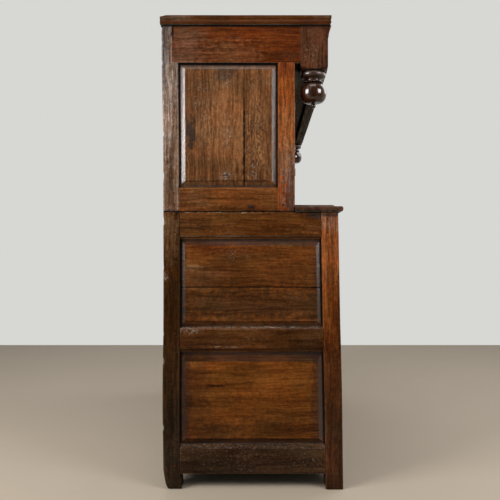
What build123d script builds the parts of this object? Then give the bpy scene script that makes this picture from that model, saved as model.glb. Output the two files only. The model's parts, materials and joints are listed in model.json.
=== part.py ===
from build123d import *
import os
from math import atan2, cos, degrees, pi, radians, sin, tan

# Court cupboard of two stages in joined oak: a base with three drawers over two doors, and an upper cupboard
# set back under a canopy that ends in two turned pendants.
# Millimetres, +Z up, front towards -Y, floor at z = 0. The pieces are laid out with the back plane at y = 0,
# and written out with the origin on the floor, in the middle of the footprint.

# ---- Overall ----
HALF_WIDTH = 700.0
BACK_Y = 316.0  # back plane, from the origin
WAIST_Z = 952.0  # top of the base's rails, on which the upper stage stands
TOP_Z = 1590.0  # top of the frieze rails
FRAME = 30.0  # thickness of the rails and muntins
SET_BACK = 1.0  # side rails behind the faces of the posts
SHOULDER = 12.0  # end shoulders of a tenon
TENON = 10.0  # thickness of a tenon
RAIL_IN = HALF_WIDTH - SET_BACK - FRAME  # inner face of the side rails
INSIDE = RAIL_IN - 0.5  # ends of the boards that lie between them
FIT = 0.2  # slack round what must slip into a groove
BOARD_GAP = 1.0  # shrinkage between boards laid side by side
ARRIS = 3.0  # chamfer on the outer corners of the posts

# ---- Base ----
BASE_DEPTH = 600.0  # back plane to front face, at the waist
RAKE = 1.0  # degrees by which the base's front leans back
FRONT_POST = (75.0, 60.0)  # width, depth
REAR_POST = (60.0, 57.0)
BASE_BOTTOM_RAIL = (54.0, 156.0)
BASE_MIDDLE_RAIL = (467.0, 558.0)
BASE_TOP_RAIL = (856.0, WAIST_Z)
FRONT_BOTTOM_RAIL = (54.0, 140.0)
DRAWER_RAIL = (715.0, 765.0)
FRONT_TOP_RAIL = (905.0, WAIST_Z)
MUNTIN = (183.3, 258.3)  # across, from the middle, the same in both stages
BACK_RAIL_THICK = 25.0
BACK_BOARD = 12.0
WORN_FOOT = 9.0
PANEL_JOINT = (691.5, 693.5)  # open joint between the two boards of an upper side panel
BEARERS = (-450.0, 0.0, 450.0)
BEARER_Z = (92.0, 124.0)
FLOOR = 16.0

# ---- Upper stage and canopy ----
UPPER_DEPTH = 451.0
STILE = (97.0, 58.0)
UPPER_POST = (55.0, 54.0)
FRIEZE_LAP = 19.0  # by which the side frieze rails run over the rear posts
UPPER_BOTTOM_RAIL = (WAIST_Z, 1037.0)
UPPER_TOP_RAIL = (1400.0, 1462.0)
FRIEZE_Z = 1462.0  # lower edge of the side frieze rails
CANOPY_DEPTH = 565.0
BLOCK = 95.0  # pendant post, square
BLOCK_Z = 1442.0
FRIEZE_FRONT = 39.0  # thickness of the front frieze rail
SOFFIT = 12.0
TOP_BOARD = 18.0
CORNICE = (10.0, 30.0)  # overhang, height
CORNICE_WIDE = 32.0
REAR_OVERHANG = 10.0
BED_MOULD = (10.0, 40.0)
PENDANT_SIDES = 18  # flats that stand for the round
SHRUNK_JOINT = 277.0  # depth of the open joint in the upper side panels

# ---- Panels ----
TONGUE = 6.0
GROOVE_BACK = 8.0  # rail face to the front of the groove
TONGUE_REACH = 7.0
GROOVE_REACH = 9.0
MARGIN = 6.0  # flat border of the tongue, sunk between the frame and the bevel
BEVEL_RISE = 4.5
FIELD_STEP = 1.5
BEVELS = (15.5, 15.5, 15.5, 15.5)  # widths of the bevels at the foot, right, head and left of a panel
BASE_UPPER_BEVELS = (12.0, 12.5, 14.0, 12.0)
BASE_LOWER_BEVELS = (12.0, 15.0, 23.0, 14.5)

# ---- Ledge ----
LEDGE_FRONT = 616.0
LEDGE_SIDE = 708.0
LEDGE = 25.0
NOSING = 18.5

# ---- Doors ----
DOOR = 24.0
DOOR_GAP = 2.0
DOOR_STILE = 64.0
DOOR_RAILS = (72.0, 64.0)  # bottom, top
DOOR_TENON = 8.0
KNOB_HEIGHT = 0.56  # up the door
HINGE_HEIGHTS = (0.17, 0.83)
DOOR_STOP = (130.0, 70.0)  # from the muntin, along the door's head

# ---- Hinges ----
PIN_R = 1.6
KNUCKLE_R = 3.5
KNUCKLE_SIDES = 8
KNUCKLES = (4.2, 4.4, 13.0)  # half height of the middle knuckle, start and end of the outer ones
LEAF = (20.0, 76.0, 2.0)  # width, height, thickness
LEAF_START = 5.0  # from the pin's axis
LEAF_OFF = 0.1  # slack behind a leaf

# ---- Turned knobs and turn buttons ----
RUNNING = 0.05  # radial slack of a pin or shank that turns
SHANK_R = 6.0
TANG = 8.0  # square end of a door knob's shank, on which the turn button sits
TENON_LENGTH = 16.0  # of a drawer knob, in the drawer front
KNOB_SIDES = 10  # flats that stand for the round
BUTTON = (24.0, 12.0, -56.0, 8.5)  # width, top and bottom from the shank's axis, thickness
BUTTON_BOSS = 22.0
BUTTON_CORNER = 8.0

# ---- Drawers ----
DRAWER_FRONT = 25.0
DRAWER_SIDE = 12.0
DRAWER_LENGTH = 460.0
DRAWER_Z = 766.5
DRAWER_HEIGHT = 112.0
RUNNER_TOP = 766.2
RUNNER = 20.0
GUIDE = 24.0
KICKER_Z = 908.0
DOVETAILS = 3
DOVETAIL = (8.0, 12.0)  # half widths at the root and at the end


# ---- Shapes used throughout ----
def bar(x, y, z):
    """A squared piece between (low, high) along each axis."""
    size = [high - low for low, high in (x, y, z)]
    return Pos(x[0], y[0], z[0]) * Box(*size, align=(Align.MIN,) * 3)


def both(piece):
    """A piece and its mirror image on the other side of the cupboard."""
    return [piece, mirror(piece, Plane.YZ)]


def boards(x, y, z, count, axis):
    """A plate cut into boards that lie side by side along one axis."""
    spans = [x, y, z]
    low, high = spans[axis]
    step = (high - low + BOARD_GAP) / count
    made = []
    for number in range(count):
        spans[axis] = (low + number * step, low + (number + 1) * step - BOARD_GAP)
        made.append(bar(*spans))
    return made


def upright(piece):
    """The upper stage's front stands upright."""
    return piece


def lean(piece):
    """The base's front, built upright, leans back about its top edge."""
    edge = Pos(0, -BASE_DEPTH, WAIST_Z)
    return edge * Rot(-RAKE, 0, 0) * edge.inverse() * piece


def cut(piece, *tools):
    for tool in tools:
        piece = piece - tool
    return piece


def seat(members, tool):
    """Cuts a mortise or groove for one piece in each of the members that it meets."""
    return [member - tool for member in members]


def outline(corners, inset):
    """A straight-sided figure drawn in by inset, or let out where inset is negative."""
    return offset(make_face(Polyline(*corners, close=True)), -inset, kind=Kind.INTERSECTION)


def rectangle(x, z):
    return [(x[0], z[0]), (x[1], z[0]), (x[1], z[1]), (x[0], z[1])]


def fielded_panel(corners, place, bevels):
    """A raised and fielded panel for the opening with these corners, and the groove round it.

    The tongue's back lies in the plane, and the field stands out along its normal. The corners run
    anticlockwise from the foot, and each side has its own width of bevel.
    """
    raised = Pos(0, 0, TONGUE) * extrude(outline(corners, MARGIN), BEVEL_RISE)
    field = Pos(0, 0, TONGUE) * extrude(outline(corners, MARGIN), BEVEL_RISE + FIELD_STEP)
    for start, end, width in zip(corners, corners[1:] + corners[:1], bevels):
        along = (Vector(*end) - Vector(*start)).normalized()
        inward = Vector(0, 0, 1).cross(along)
        foot = Vector(*start, TONGUE) + inward * MARGIN
        slope = Vector(0, 0, width) - inward * BEVEL_RISE
        bevel = Plane(origin=foot, x_dir=along, z_dir=slope)
        step = Plane(origin=foot + inward * width, x_dir=along, z_dir=-inward)
        raised = split(raised, bisect_by=bevel, keep=Keep.BOTTOM)
        field = split(field, bisect_by=step, keep=Keep.BOTTOM)
    panel = extrude(outline(corners, -TONGUE_REACH), TONGUE) + raised + field
    groove = Pos(0, 0, -FIT) * extrude(outline(corners, -GROOVE_REACH), TONGUE + 2 * FIT)
    return place * panel, place * groove


def side_plane():
    """The left side, with depth from the back and height as its two directions."""
    x = HALF_WIDTH - SET_BACK - GROOVE_BACK - TONGUE
    return Plane(origin=(-x, 0, 0), x_dir=(0, -1, 0), z_dir=(-1, 0, 0))


def front_plane(depth):
    """A front at this depth, with x and height as its two directions."""
    return Plane(origin=(0, -depth + GROOVE_BACK + TONGUE, 0), x_dir=(1, 0, 0), z_dir=(0, -1, 0))


# ---- Turned work ----
def stage_of_turning(low, high, sides):
    """The tapering stage between two (height, radius) points, with this many flats for the round."""
    widest, narrowest = max(low[1], high[1]), min(low[1], high[1])
    length = high[0] - low[0]
    taper = degrees(atan2((widest - narrowest) * cos(pi / sides), length))
    stage = extrude(RegularPolygon(widest, sides), length, taper=taper)
    if low[1] >= high[1]:
        return Pos(0, 0, low[0]) * stage
    return Pos(0, 0, high[0]) * Rot(180, 0, 0) * stage


def turning(profile, sides):
    """A piece turned about Z from its profile of (height, radius) points. A step has two at one height."""
    pairs = [pair for pair in zip(profile, profile[1:]) if pair[1][0] > pair[0][0]]
    stages = [stage_of_turning(low, high, sides) for low, high in pairs]
    return stages[0] + stages[1:]


def bead(low, high, inner, outer, steps):
    """A rounded swelling of a profile, between two heights."""
    middle, half = (low + high) / 2, (high - low) / 2
    angles = [pi * number / steps - pi / 2 for number in range(steps + 1)]
    return [(middle + half * sin(angle), inner + (outer - inner) * cos(angle)) for angle in angles]


def knob_head():
    """A mushroom knob about Z, from its collar on the face at z = 0."""
    return turning([(0, 11), (2, 11), (2, 8.5), (8, 6.5), *bead(8, 24, 7, 15, 4)], KNOB_SIDES)


def door_knob():
    """A knob on a round shank that goes through the door, with a square tang behind."""
    shank_end, tang_end = -(DOOR + RUNNING), -(FRAME + BUTTON[3] + 0.5)
    shank = Pos(0, 0, shank_end / 2) * Cylinder(SHANK_R, -shank_end)
    half = TANG / 2
    return knob_head() + shank + bar((-half, half), (-half, half), (tang_end, shank_end))


def drawer_knob():
    """A knob on a tenon that is glued into the drawer front."""
    return knob_head() + Pos(0, 0, -TENON_LENGTH) * extrude(RegularPolygon(SHANK_R, KNOB_SIDES), TENON_LENGTH)


def turn_button():
    """The wooden button on the tang behind the door: a boss, and a finger that hangs down."""
    width, top, foot, thick = BUTTON
    finger = -(FRAME + 0.5)
    back, tip = -(DOOR + 0.3), finger - thick
    half, boss, tang = width / 2, BUTTON_BOSS / 2, TANG / 2
    plate = bar((-half, half), (foot, top), (tip, finger))
    plate = chamfer(plate.edges().filter_by(Axis.Z).group_by(Axis.Y)[0], BUTTON_CORNER)
    plate += bar((-boss, boss), (-boss, boss), (finger, back))
    return plate - bar((-tang, tang), (-tang, tang), (tip, back))


# ---- Side frames ----
def edged_rail(y, z, lower, upper):
    """A left side rail. Beside a panel its edges fall back to the groove: a hollow below, a chamfer above."""
    face = -HALF_WIDTH + SET_BACK
    edge = face + GROOVE_BACK
    hollow_middle = 0.65
    section = Polyline((-RAIL_IN, 0, z[0]), (-RAIL_IN, 0, z[1]), (edge if upper else face, 0, z[1]))
    if upper:
        section += Line((edge, 0, z[1]), (face, 0, z[1] - upper))
    section += Line((face, 0, z[1] - upper), (face, 0, z[0] + lower))
    if lower:
        middle = (face + hollow_middle * GROOVE_BACK, 0, z[0] + hollow_middle * lower)
        section += ThreePointArc((face, 0, z[0] + lower), middle, (edge, 0, z[0]))
    section += Line((edge if lower else face, 0, z[0]), (-RAIL_IN, 0, z[0]))
    return Pos(0, y[0], 0) * extrude(make_face(section), y[1] - y[0], dir=(0, 1, 0))


def side_tenon(y, z):
    middle = -(RAIL_IN + FRAME / 2)
    return bar((middle - TENON / 2, middle + TENON / 2), y, (z[0] + SHOULDER, z[1] - SHOULDER))


def front_post_back(z):
    """Depth of the leaning front post's rear face at a height."""
    return BASE_DEPTH - FRONT_POST[1] + (WAIST_Z - z) * tan(radians(RAKE))


def base_sides():
    """Posts, rails and panels of the base's left side, and the space that the front post fills."""
    width, depth = FRONT_POST
    above, below = WAIST_Z + 40, -40
    post_y = (-BASE_DEPTH, -BASE_DEPTH + depth)
    upright_post = bar((-HALF_WIDTH, -HALF_WIDTH + width), post_y, (below, above))
    post_space = lean(upright_post)
    front_post = lean(chamfer(upright_post.edges().filter_by(Axis.Z).sort_by(Axis.X)[:2], ARRIS))
    front_post = front_post & bar((-HALF_WIDTH - 1, 0), (-BASE_DEPTH - 50, 0), (0, WAIST_Z))
    rear_post = bar((-HALF_WIDTH, -HALF_WIDTH + REAR_POST[0]), (-REAR_POST[1], 0), (0, WAIST_Z))
    rear_post = chamfer(rear_post.edges().filter_by(Axis.Z).sort_by(Axis.X)[:2], ARRIS)
    worn = rear_post.edges().group_by(Axis.Z)[0].filter_by(Axis.Y).sort_by(Axis.X)[:1]
    rear_post = chamfer(worn, WORN_FOOT)

    rails = []
    for z, lower, upper in (
        (BASE_BOTTOM_RAIL, 0, 17.0),
        (BASE_MIDDLE_RAIL, 16.0, 8.0),
        (BASE_TOP_RAIL, 12.0, 0),
    ):
        rail = edged_rail((-BASE_DEPTH, -REAR_POST[1]), z, lower, upper) - post_space
        rail += side_tenon((-REAR_POST[1] - 5, -REAR_POST[1] + 40), z)
        rail += side_tenon((-BASE_DEPTH + 15, -BASE_DEPTH + depth + 5), z)
        front_post, rear_post = seat((front_post, rear_post), rail)
        rails.append(rail)

    panels = []
    for low, high, bevels in (
        (BASE_BOTTOM_RAIL[1], BASE_MIDDLE_RAIL[0], BASE_LOWER_BEVELS),
        (BASE_MIDDLE_RAIL[1], BASE_TOP_RAIL[0], BASE_UPPER_BEVELS),
    ):
        back = REAR_POST[1]
        corners = [(back, low), (front_post_back(low), low), (front_post_back(high), high), (back, high)]
        panel, groove = fielded_panel(corners, side_plane(), bevels)
        front_post, rear_post, *rails = seat((front_post, rear_post, *rails), groove)
        panels.append(panel)
    panels[1] -= bar((-HALF_WIDTH, 0), (-BASE_DEPTH, 0), PANEL_JOINT)
    return front_post, rear_post, rails, panels, post_space


# ---- Fronts ----
def front_rail(half, depth, z, reach, thick=FRAME):
    """A rail across a front, with a tenon of this reach at each end."""
    rail = bar((-half, half), (-depth, -depth + thick), z)
    tenon_z = (z[0] + SHOULDER, z[1] - SHOULDER)
    middle = -depth + thick / 2
    return rail + bar((-half - reach, half + reach), (middle - TENON / 2, middle + TENON / 2), tenon_z)


def front_muntin(depth, z, reach_low, reach_high):
    """The muntin to the left of the middle, with tenons up and down."""
    low, high = -MUNTIN[1], -MUNTIN[0]
    muntin = bar((low, high), (-depth, -depth + FRAME), z)
    middle = -depth + FRAME / 2
    tenon_x = (low + SHOULDER, high - SHOULDER)
    tenon_z = (z[0] - reach_low, z[1] + reach_high)
    return muntin + bar(tenon_x, (middle - TENON / 2, middle + TENON / 2), tenon_z)


def hinge_leaf(side, knuckles):
    """One half of an H hinge about the Z axis: an upright plate, with a strap rolled into each knuckle."""
    width, height, thick = LEAF
    wood = KNUCKLE_R + LEAF_OFF
    span = sorted((side * LEAF_START, side * (LEAF_START + width)))
    leaf = bar(span, (wood - thick, wood), (-height / 2, height / 2))
    leaf = chamfer(leaf.edges().filter_by(Axis.Y), 3.0)
    for low, high in knuckles:
        leaf += bar(sorted((0.0, side * (LEAF_START + 1))), (wood - thick, wood), (low, high))
        leaf += Pos(0, 0, low) * extrude(RegularPolygon(KNUCKLE_R, KNUCKLE_SIDES), high - low)
    return leaf


def hinge():
    """The door's leaf, bored for the pin, and the frame's leaf, with the pin riveted in its two knuckles."""
    middle, start, end = KNUCKLES
    bore = RegularPolygon(PIN_R + RUNNING, KNUCKLE_SIDES, major_radius=False)
    moving = hinge_leaf(1, [(-middle, middle)]) - Pos(0, 0, -end) * extrude(bore, 2 * end)
    fixed = hinge_leaf(-1, [(-end, -start), (start, end)]) + Cylinder(PIN_R, 2 * start)
    return moving, fixed


def door(x, z, depth):
    """A framed and panelled door for the left opening, hung on its left edge and standing upright.

    Returns its pieces by name, with the fixed halves of its hinges.
    """
    face = -depth
    x0, x1 = x[0] + DOOR_GAP, x[1] - DOOR_GAP
    z0, z1 = z[0] + DOOR_GAP, z[1] - DOOR_GAP
    thick = (face, face + DOOR)
    stiles = [bar(span, thick, (z0, z1)) for span in ((x0, x0 + DOOR_STILE), (x1 - DOOR_STILE, x1))]
    inner_x = (x0 + DOOR_STILE, x1 - DOOR_STILE)
    inner_z = (z0 + DOOR_RAILS[0], z1 - DOOR_RAILS[1])
    rails = []
    reach = 0.7 * DOOR_STILE
    tenon_y = (face + GROOVE_BACK, face + GROOVE_BACK + DOOR_TENON)
    for low, high in ((z0, inner_z[0]), (inner_z[1], z1)):
        tenon = bar((inner_x[0] - reach, inner_x[1] + reach), tenon_y, (low + SHOULDER, high - SHOULDER))
        rails.append(bar(inner_x, thick, (low, high)) + tenon)
        stiles = seat(stiles, tenon)
    panel, groove = fielded_panel(rectangle(inner_x, inner_z), front_plane(depth), BEVELS)
    stiles, rails = seat(stiles, groove), seat(rails, groove)

    place = Pos(x1 - DOOR_STILE / 2, face, z0 + KNOB_HEIGHT * (z1 - z0)) * Rot(90, 0, 0)
    stiles[1] -= place * Pos(0, 0, -DOOR / 2) * Cylinder(SHANK_R + RUNNING, DOOR)

    leaves, fixed = [], []
    for height in HINGE_HEIGHTS:
        pin = Pos(x[0] + DOOR_GAP / 2, face - KNUCKLE_R - LEAF_OFF, z0 + height * (z1 - z0))
        moving_leaf, fixed_leaf = hinge()
        leaves.append(pin * moving_leaf)
        fixed.append(pin * fixed_leaf)
    return {
        "frame": stiles + rails,
        "panel": [panel],
        "hinge_leaves": leaves,
        "knob": [place * door_knob()],
        "turn_button": [place * turn_button()],
    }, fixed


def drawer(x):
    """A drawer for one opening: leaning front with lapped dovetails, level box, boarded bottom and knob."""
    face = -BASE_DEPTH
    x0, x1 = x[0] + DOOR_GAP, x[1] - DOOR_GAP
    z0, z1 = DRAWER_RAIL[1] + DOOR_GAP, FRONT_TOP_RAIL[0] - DOOR_GAP
    front = bar((x0, x1), (face, face + DRAWER_FRONT), (z0, z1))
    front = lean(chamfer(front.faces().sort_by(Axis.Y)[0].edges(), 2.0))
    rear = face + DRAWER_FRONT + DRAWER_LENGTH
    top = DRAWER_Z + DRAWER_HEIGHT
    inner = (x0 + DOOR_GAP + DRAWER_SIDE, x1 - DOOR_GAP - DRAWER_SIDE)
    bottom_z = (DRAWER_Z + 4, DRAWER_Z + 12)
    lap, root = face + 7, face + DRAWER_FRONT + 3
    spacing = (DRAWER_HEIGHT - 19) / DOVETAILS

    sides = []
    for low in (inner[0] - DRAWER_SIDE, inner[1]):
        span = (low, low + DRAWER_SIDE)
        side = bar(span, (face + DRAWER_FRONT / 2, rear), (DRAWER_Z, top)) - front
        for tail in range(DOVETAILS):
            middle = DRAWER_Z + (tail + 0.8) * spacing
            narrow, wide = DOVETAIL
            corners = [(root, -narrow), (lap, -wide), (lap, wide), (root, narrow)]
            profile = make_face(Polyline(*[(low, y, middle + z) for y, z in corners], close=True))
            side += extrude(profile, DRAWER_SIDE, dir=(1, 0, 0))
        sides.append(side)
    back = bar(inner, (rear - DRAWER_SIDE, rear), (bottom_z[1], top))
    bottom_x = (inner[0] - DRAWER_SIDE / 2, inner[1] + DRAWER_SIDE / 2)
    bottom = bar(bottom_x, (lap + 8, rear), bottom_z)
    knob = lean(Pos((x0 + x1) / 2, face, (z0 + z1) / 2) * Rot(90, 0, 0) * drawer_knob())
    front = cut(front, *sides, bottom, knob)
    sides = seat(sides, bottom)
    return {"front": [front], "sides": sides + [back], "bottom": [bottom], "knob": [knob]}


# ---- Canopy ----
def pendant_profile():
    """Button, neck, ball, ring, cove and drum below the pendant's block, as (height, radius) points."""
    foot = 1318.0
    button = [(foot, 4), (foot + 3, 8), (foot + 8, 9), (foot + 13, 6.5), (foot + 17, 6.5)]
    ball = bead(foot + 17, foot + 82, 16, 45, 6)
    ring = bead(foot + 82, foot + 91, 27, 31, 2)
    cove = [(foot + 94, 28), (foot + 101, 34)]
    drum = bead(foot + 101, BLOCK_Z - 1, 37, 43.5, 3)
    return button + ball + ring + cove + drum


def pendant_post():
    """The left corner post of the canopy: a square block, turned below where its corners are rounded in."""
    centre = Pos(-HALF_WIDTH + BLOCK / 2, -CANOPY_DEPTH + BLOCK / 2, 0)
    corner = BLOCK * 0.75
    shoulder = [(BLOCK_Z - 1, 38), (BLOCK_Z + 2, BLOCK / 2 + 4), (BLOCK_Z + 14, corner), (TOP_Z, corner)]
    square = Pos(0, 0, (BLOCK_Z + TOP_Z) / 2) * Box(BLOCK, BLOCK, TOP_Z - BLOCK_Z + 20)
    block = turning(shoulder, PENDANT_SIDES) & square
    return centre * (block + turning(pendant_profile(), PENDANT_SIDES))


def cornice_section():
    """The cornice seen end on: bed, ovolo, quirk, cove and top fillet, standing out along +X."""
    out, high = CORNICE
    wide = CORNICE_WIDE
    section = Polyline((out - wide, high), (out - wide, 0), (out - 3, 0), (out - 3, 2.5))
    section += ThreePointArc((out - 3, 2.5), (out - 0.6, 7), (out - 2, 12))
    section += Polyline((out - 2, 12), (out - 3.5, 12), (out - 3.5, 14))
    section += ThreePointArc((out - 3.5, 14), (out - 2.8, 18), (out - 0.8, 20.5))
    section += Polyline((out - 0.8, 20.5), (out, 20.5), (out, high), (out - wide, high))
    return section


def cornice():
    """Left, front and right strips, mitred at the front corners, and the hollow moulding under the front."""
    out = CORNICE[0]
    left_mitre = Plane(origin=(-HALF_WIDTH, -CANOPY_DEPTH, 0), z_dir=(-1, 1, 0))
    right_mitre = Plane(origin=(HALF_WIDTH, -CANOPY_DEPTH, 0), z_dir=(1, 1, 0))
    section = make_face(Plane.XZ * cornice_section())
    side = extrude(section, CANOPY_DEPTH + out + REAR_OVERHANG, dir=(0, 1, 0))
    side = mirror(Pos(HALF_WIDTH, -CANOPY_DEPTH - out, TOP_Z) * side, Plane.YZ)
    side = split(side, bisect_by=left_mitre, keep=Keep.TOP)
    front = extrude(Rot(0, 0, -90) * section, 2 * (HALF_WIDTH + out), dir=(1, 0, 0))
    front = Pos(-HALF_WIDTH - out, -CANOPY_DEPTH, TOP_Z) * front
    for mitre in (left_mitre, right_mitre):
        front = split(front, bisect_by=mitre, keep=Keep.BOTTOM)

    deep, high = BED_MOULD
    x, y = -HALF_WIDTH, -CANOPY_DEPTH
    top, tip, foot = (x, y - deep, TOP_Z), (x, y - deep, TOP_Z - 4), (x, y - 1, TOP_Z - high)
    hollow = Polyline((x, y, TOP_Z - high), (x, y, TOP_Z), top, tip)
    hollow += ThreePointArc(tip, (x, y - 0.35 * deep, TOP_Z - 0.55 * high), foot)
    hollow += Line(foot, (x, y, TOP_Z - high))
    bed = extrude(make_face(hollow), 2 * HALF_WIDTH, dir=(1, 0, 0))
    return [*both(side), front, bed]


def ledge():
    """The shelf board before the upper stage, its edge moulded on three sides."""
    x, y = (-LEDGE_SIDE, LEDGE_SIDE), (-LEDGE_FRONT, -UPPER_DEPTH)
    level = WAIST_Z + NOSING
    board = bar(x, y, (WAIST_Z, level))
    outer = board.edges().filter_by(Axis.Y) + board.edges().filter_by(Axis.X).group_by(Axis.Y)[0]
    board = fillet(outer, 7.0)
    sections = []
    for inset, height in ((21.0, level), (33.0, WAIST_Z + LEDGE)):
        corners = rectangle((x[0] + inset, x[1] - inset), (y[0] + inset, y[1]))
        sections.append(Pos(0, 0, height) * make_face(Polyline(*corners, close=True)))
    return board + loft(sections)


# ---- Assembly ----
def base_frame():
    """The base's two sides and its front frame, joined, and the spaces that its posts and front fill."""
    front_post, rear_post, rails, panels, post_space = base_sides()
    half = HALF_WIDTH - FRONT_POST[0]
    deep = BASE_DEPTH
    front_rails = [front_rail(half, deep, z, 40) for z in (FRONT_BOTTOM_RAIL, DRAWER_RAIL, FRONT_TOP_RAIL)]
    long_muntin = front_muntin(deep, (FRONT_BOTTOM_RAIL[1], DRAWER_RAIL[0]), 30, 22)
    short_muntin = front_muntin(deep, (DRAWER_RAIL[1], FRONT_TOP_RAIL[0]), 22, 22)
    muntins = both(long_muntin) + both(short_muntin)
    for muntin in muntins:
        front_rails = seat(front_rails, muntin)
    opening = rectangle((-MUNTIN[0], MUNTIN[0]), (FRONT_BOTTOM_RAIL[1], DRAWER_RAIL[0]))
    centre, groove = fielded_panel(opening, front_plane(deep), BEVELS)
    front_rails, muntins = seat(front_rails, groove), seat(muntins, groove)
    front_rails = [lean(rail) for rail in front_rails]
    muntins = [lean(muntin) for muntin in muntins]
    front_space = lean(bar((-HALF_WIDTH, HALF_WIDTH), (-deep, -deep + FRAME), (-40, WAIST_Z + 40)))
    return front_post, rear_post, rails, panels, post_space, front_rails, muntins, centre, front_space


def runner_set(spaces, rear):
    """Runners, guides and kickers for the three drawers, from the front frame to the back rails."""
    half = HALF_WIDTH - FRONT_POST[0]
    across = [(-INSIDE, -half + 25), (-MUNTIN[1] - 18, -MUNTIN[0] + 18)]
    guides = [(-INSIDE, -half - 2), (-MUNTIN[1] + 2.5, -MUNTIN[0] - 2.5)]
    runners = []
    for wide, narrow in zip(across, guides):
        for x, z in (
            (wide, (RUNNER_TOP - RUNNER, RUNNER_TOP)),
            (narrow, (RUNNER_TOP, RUNNER_TOP + GUIDE)),
            (wide, (KICKER_Z, WAIST_Z)),
        ):
            runners += both(cut(bar(x, (-BASE_DEPTH, -rear), z), *spaces))
    return runners


def base_floor(spaces, front_space, rear):
    """Floor boards, and the three bearers under them with their tenons for the front rail."""
    bearers = []
    for middle in BEARERS:
        bearer = bar((middle - 25, middle + 25), (-BASE_DEPTH, -rear), BEARER_Z) - front_space
        tenon_y = (-BASE_DEPTH + FRAME - 12, -BASE_DEPTH + FRAME + 40)
        bearer += lean(bar((middle - 20, middle + 20), tenon_y, (BEARER_Z[0] + 5, BEARER_Z[1] - 5)))
        bearers.append(bearer)
    across = (-INSIDE, INSIDE)
    floor = boards(across, (-BASE_DEPTH, -rear), (BEARER_Z[1], BEARER_Z[1] + FLOOR), 5, 1)
    return [cut(board, front_space, *spaces) for board in floor], bearers


def base():
    """The base without its doors and drawers, as nodes."""
    front_post, rear_post, rails, panels, post_space, front_rails, muntins, centre, front_space = base_frame()

    # Back frame, and upright back boards in rebates of the rear posts
    rear_half = HALF_WIDTH - REAR_POST[0]
    rear = BACK_BOARD + BACK_RAIL_THICK
    back_rails = [
        front_rail(rear_half, rear, z, 24, BACK_RAIL_THICK)
        for z in (FRONT_BOTTOM_RAIL, DRAWER_RAIL, (880.0, WAIST_Z))
    ]
    rebate_z = (BASE_BOTTOM_RAIL[0], WAIST_Z)
    rebated = rear_half + BACK_BOARD
    back_boards = boards((-rebated, rebated), (-BACK_BOARD, 0), rebate_z, 8, 0)
    rear_post -= bar((-rebated, 0), (-BACK_BOARD, 0), rebate_z)

    rear_space = bar((-HALF_WIDTH, -rear_half), (-REAR_POST[1], 0), (0, WAIST_Z))
    runners = runner_set((post_space, front_space, rear_space), rear)
    floor, bearers = base_floor(both(post_space) + both(rear_space), front_space, rear)
    for bearer in bearers:
        front_rails = seat(front_rails, bearer)
    return {
        "base_front_posts": [cut(post, *front_rails) for post in both(front_post)],
        "base_rear_posts": [cut(post, *back_rails) for post in both(rear_post)],
        "base_side_rails": [piece for rail in rails for piece in both(rail)],
        "base_lower_side_panels": both(panels[0]),
        "base_upper_side_panels": both(panels[1]),
        "base_front_rails": front_rails,
        "base_front_muntins": muntins,
        "base_centre_panel": [lean(centre)],
        "base_back": back_rails + back_boards,
        "drawer_runners": runners,
        "base_floor": floor + bearers,
    }


def shrunk_joint():
    """The open joint between the two boards of an upper side panel, wider at the foot than at the head."""
    depth, above, below = SHRUNK_JOINT, FRIEZE_Z + 18, UPPER_BOTTOM_RAIL[1] - 17
    gap = [(depth - 0.5, above), (depth - 1.5, below), (depth + 2, below), (depth + 0.8, above)]
    return side_plane() * Pos(0, 0, -5) * extrude(make_face(Polyline(*gap, close=True)), 30)


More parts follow.
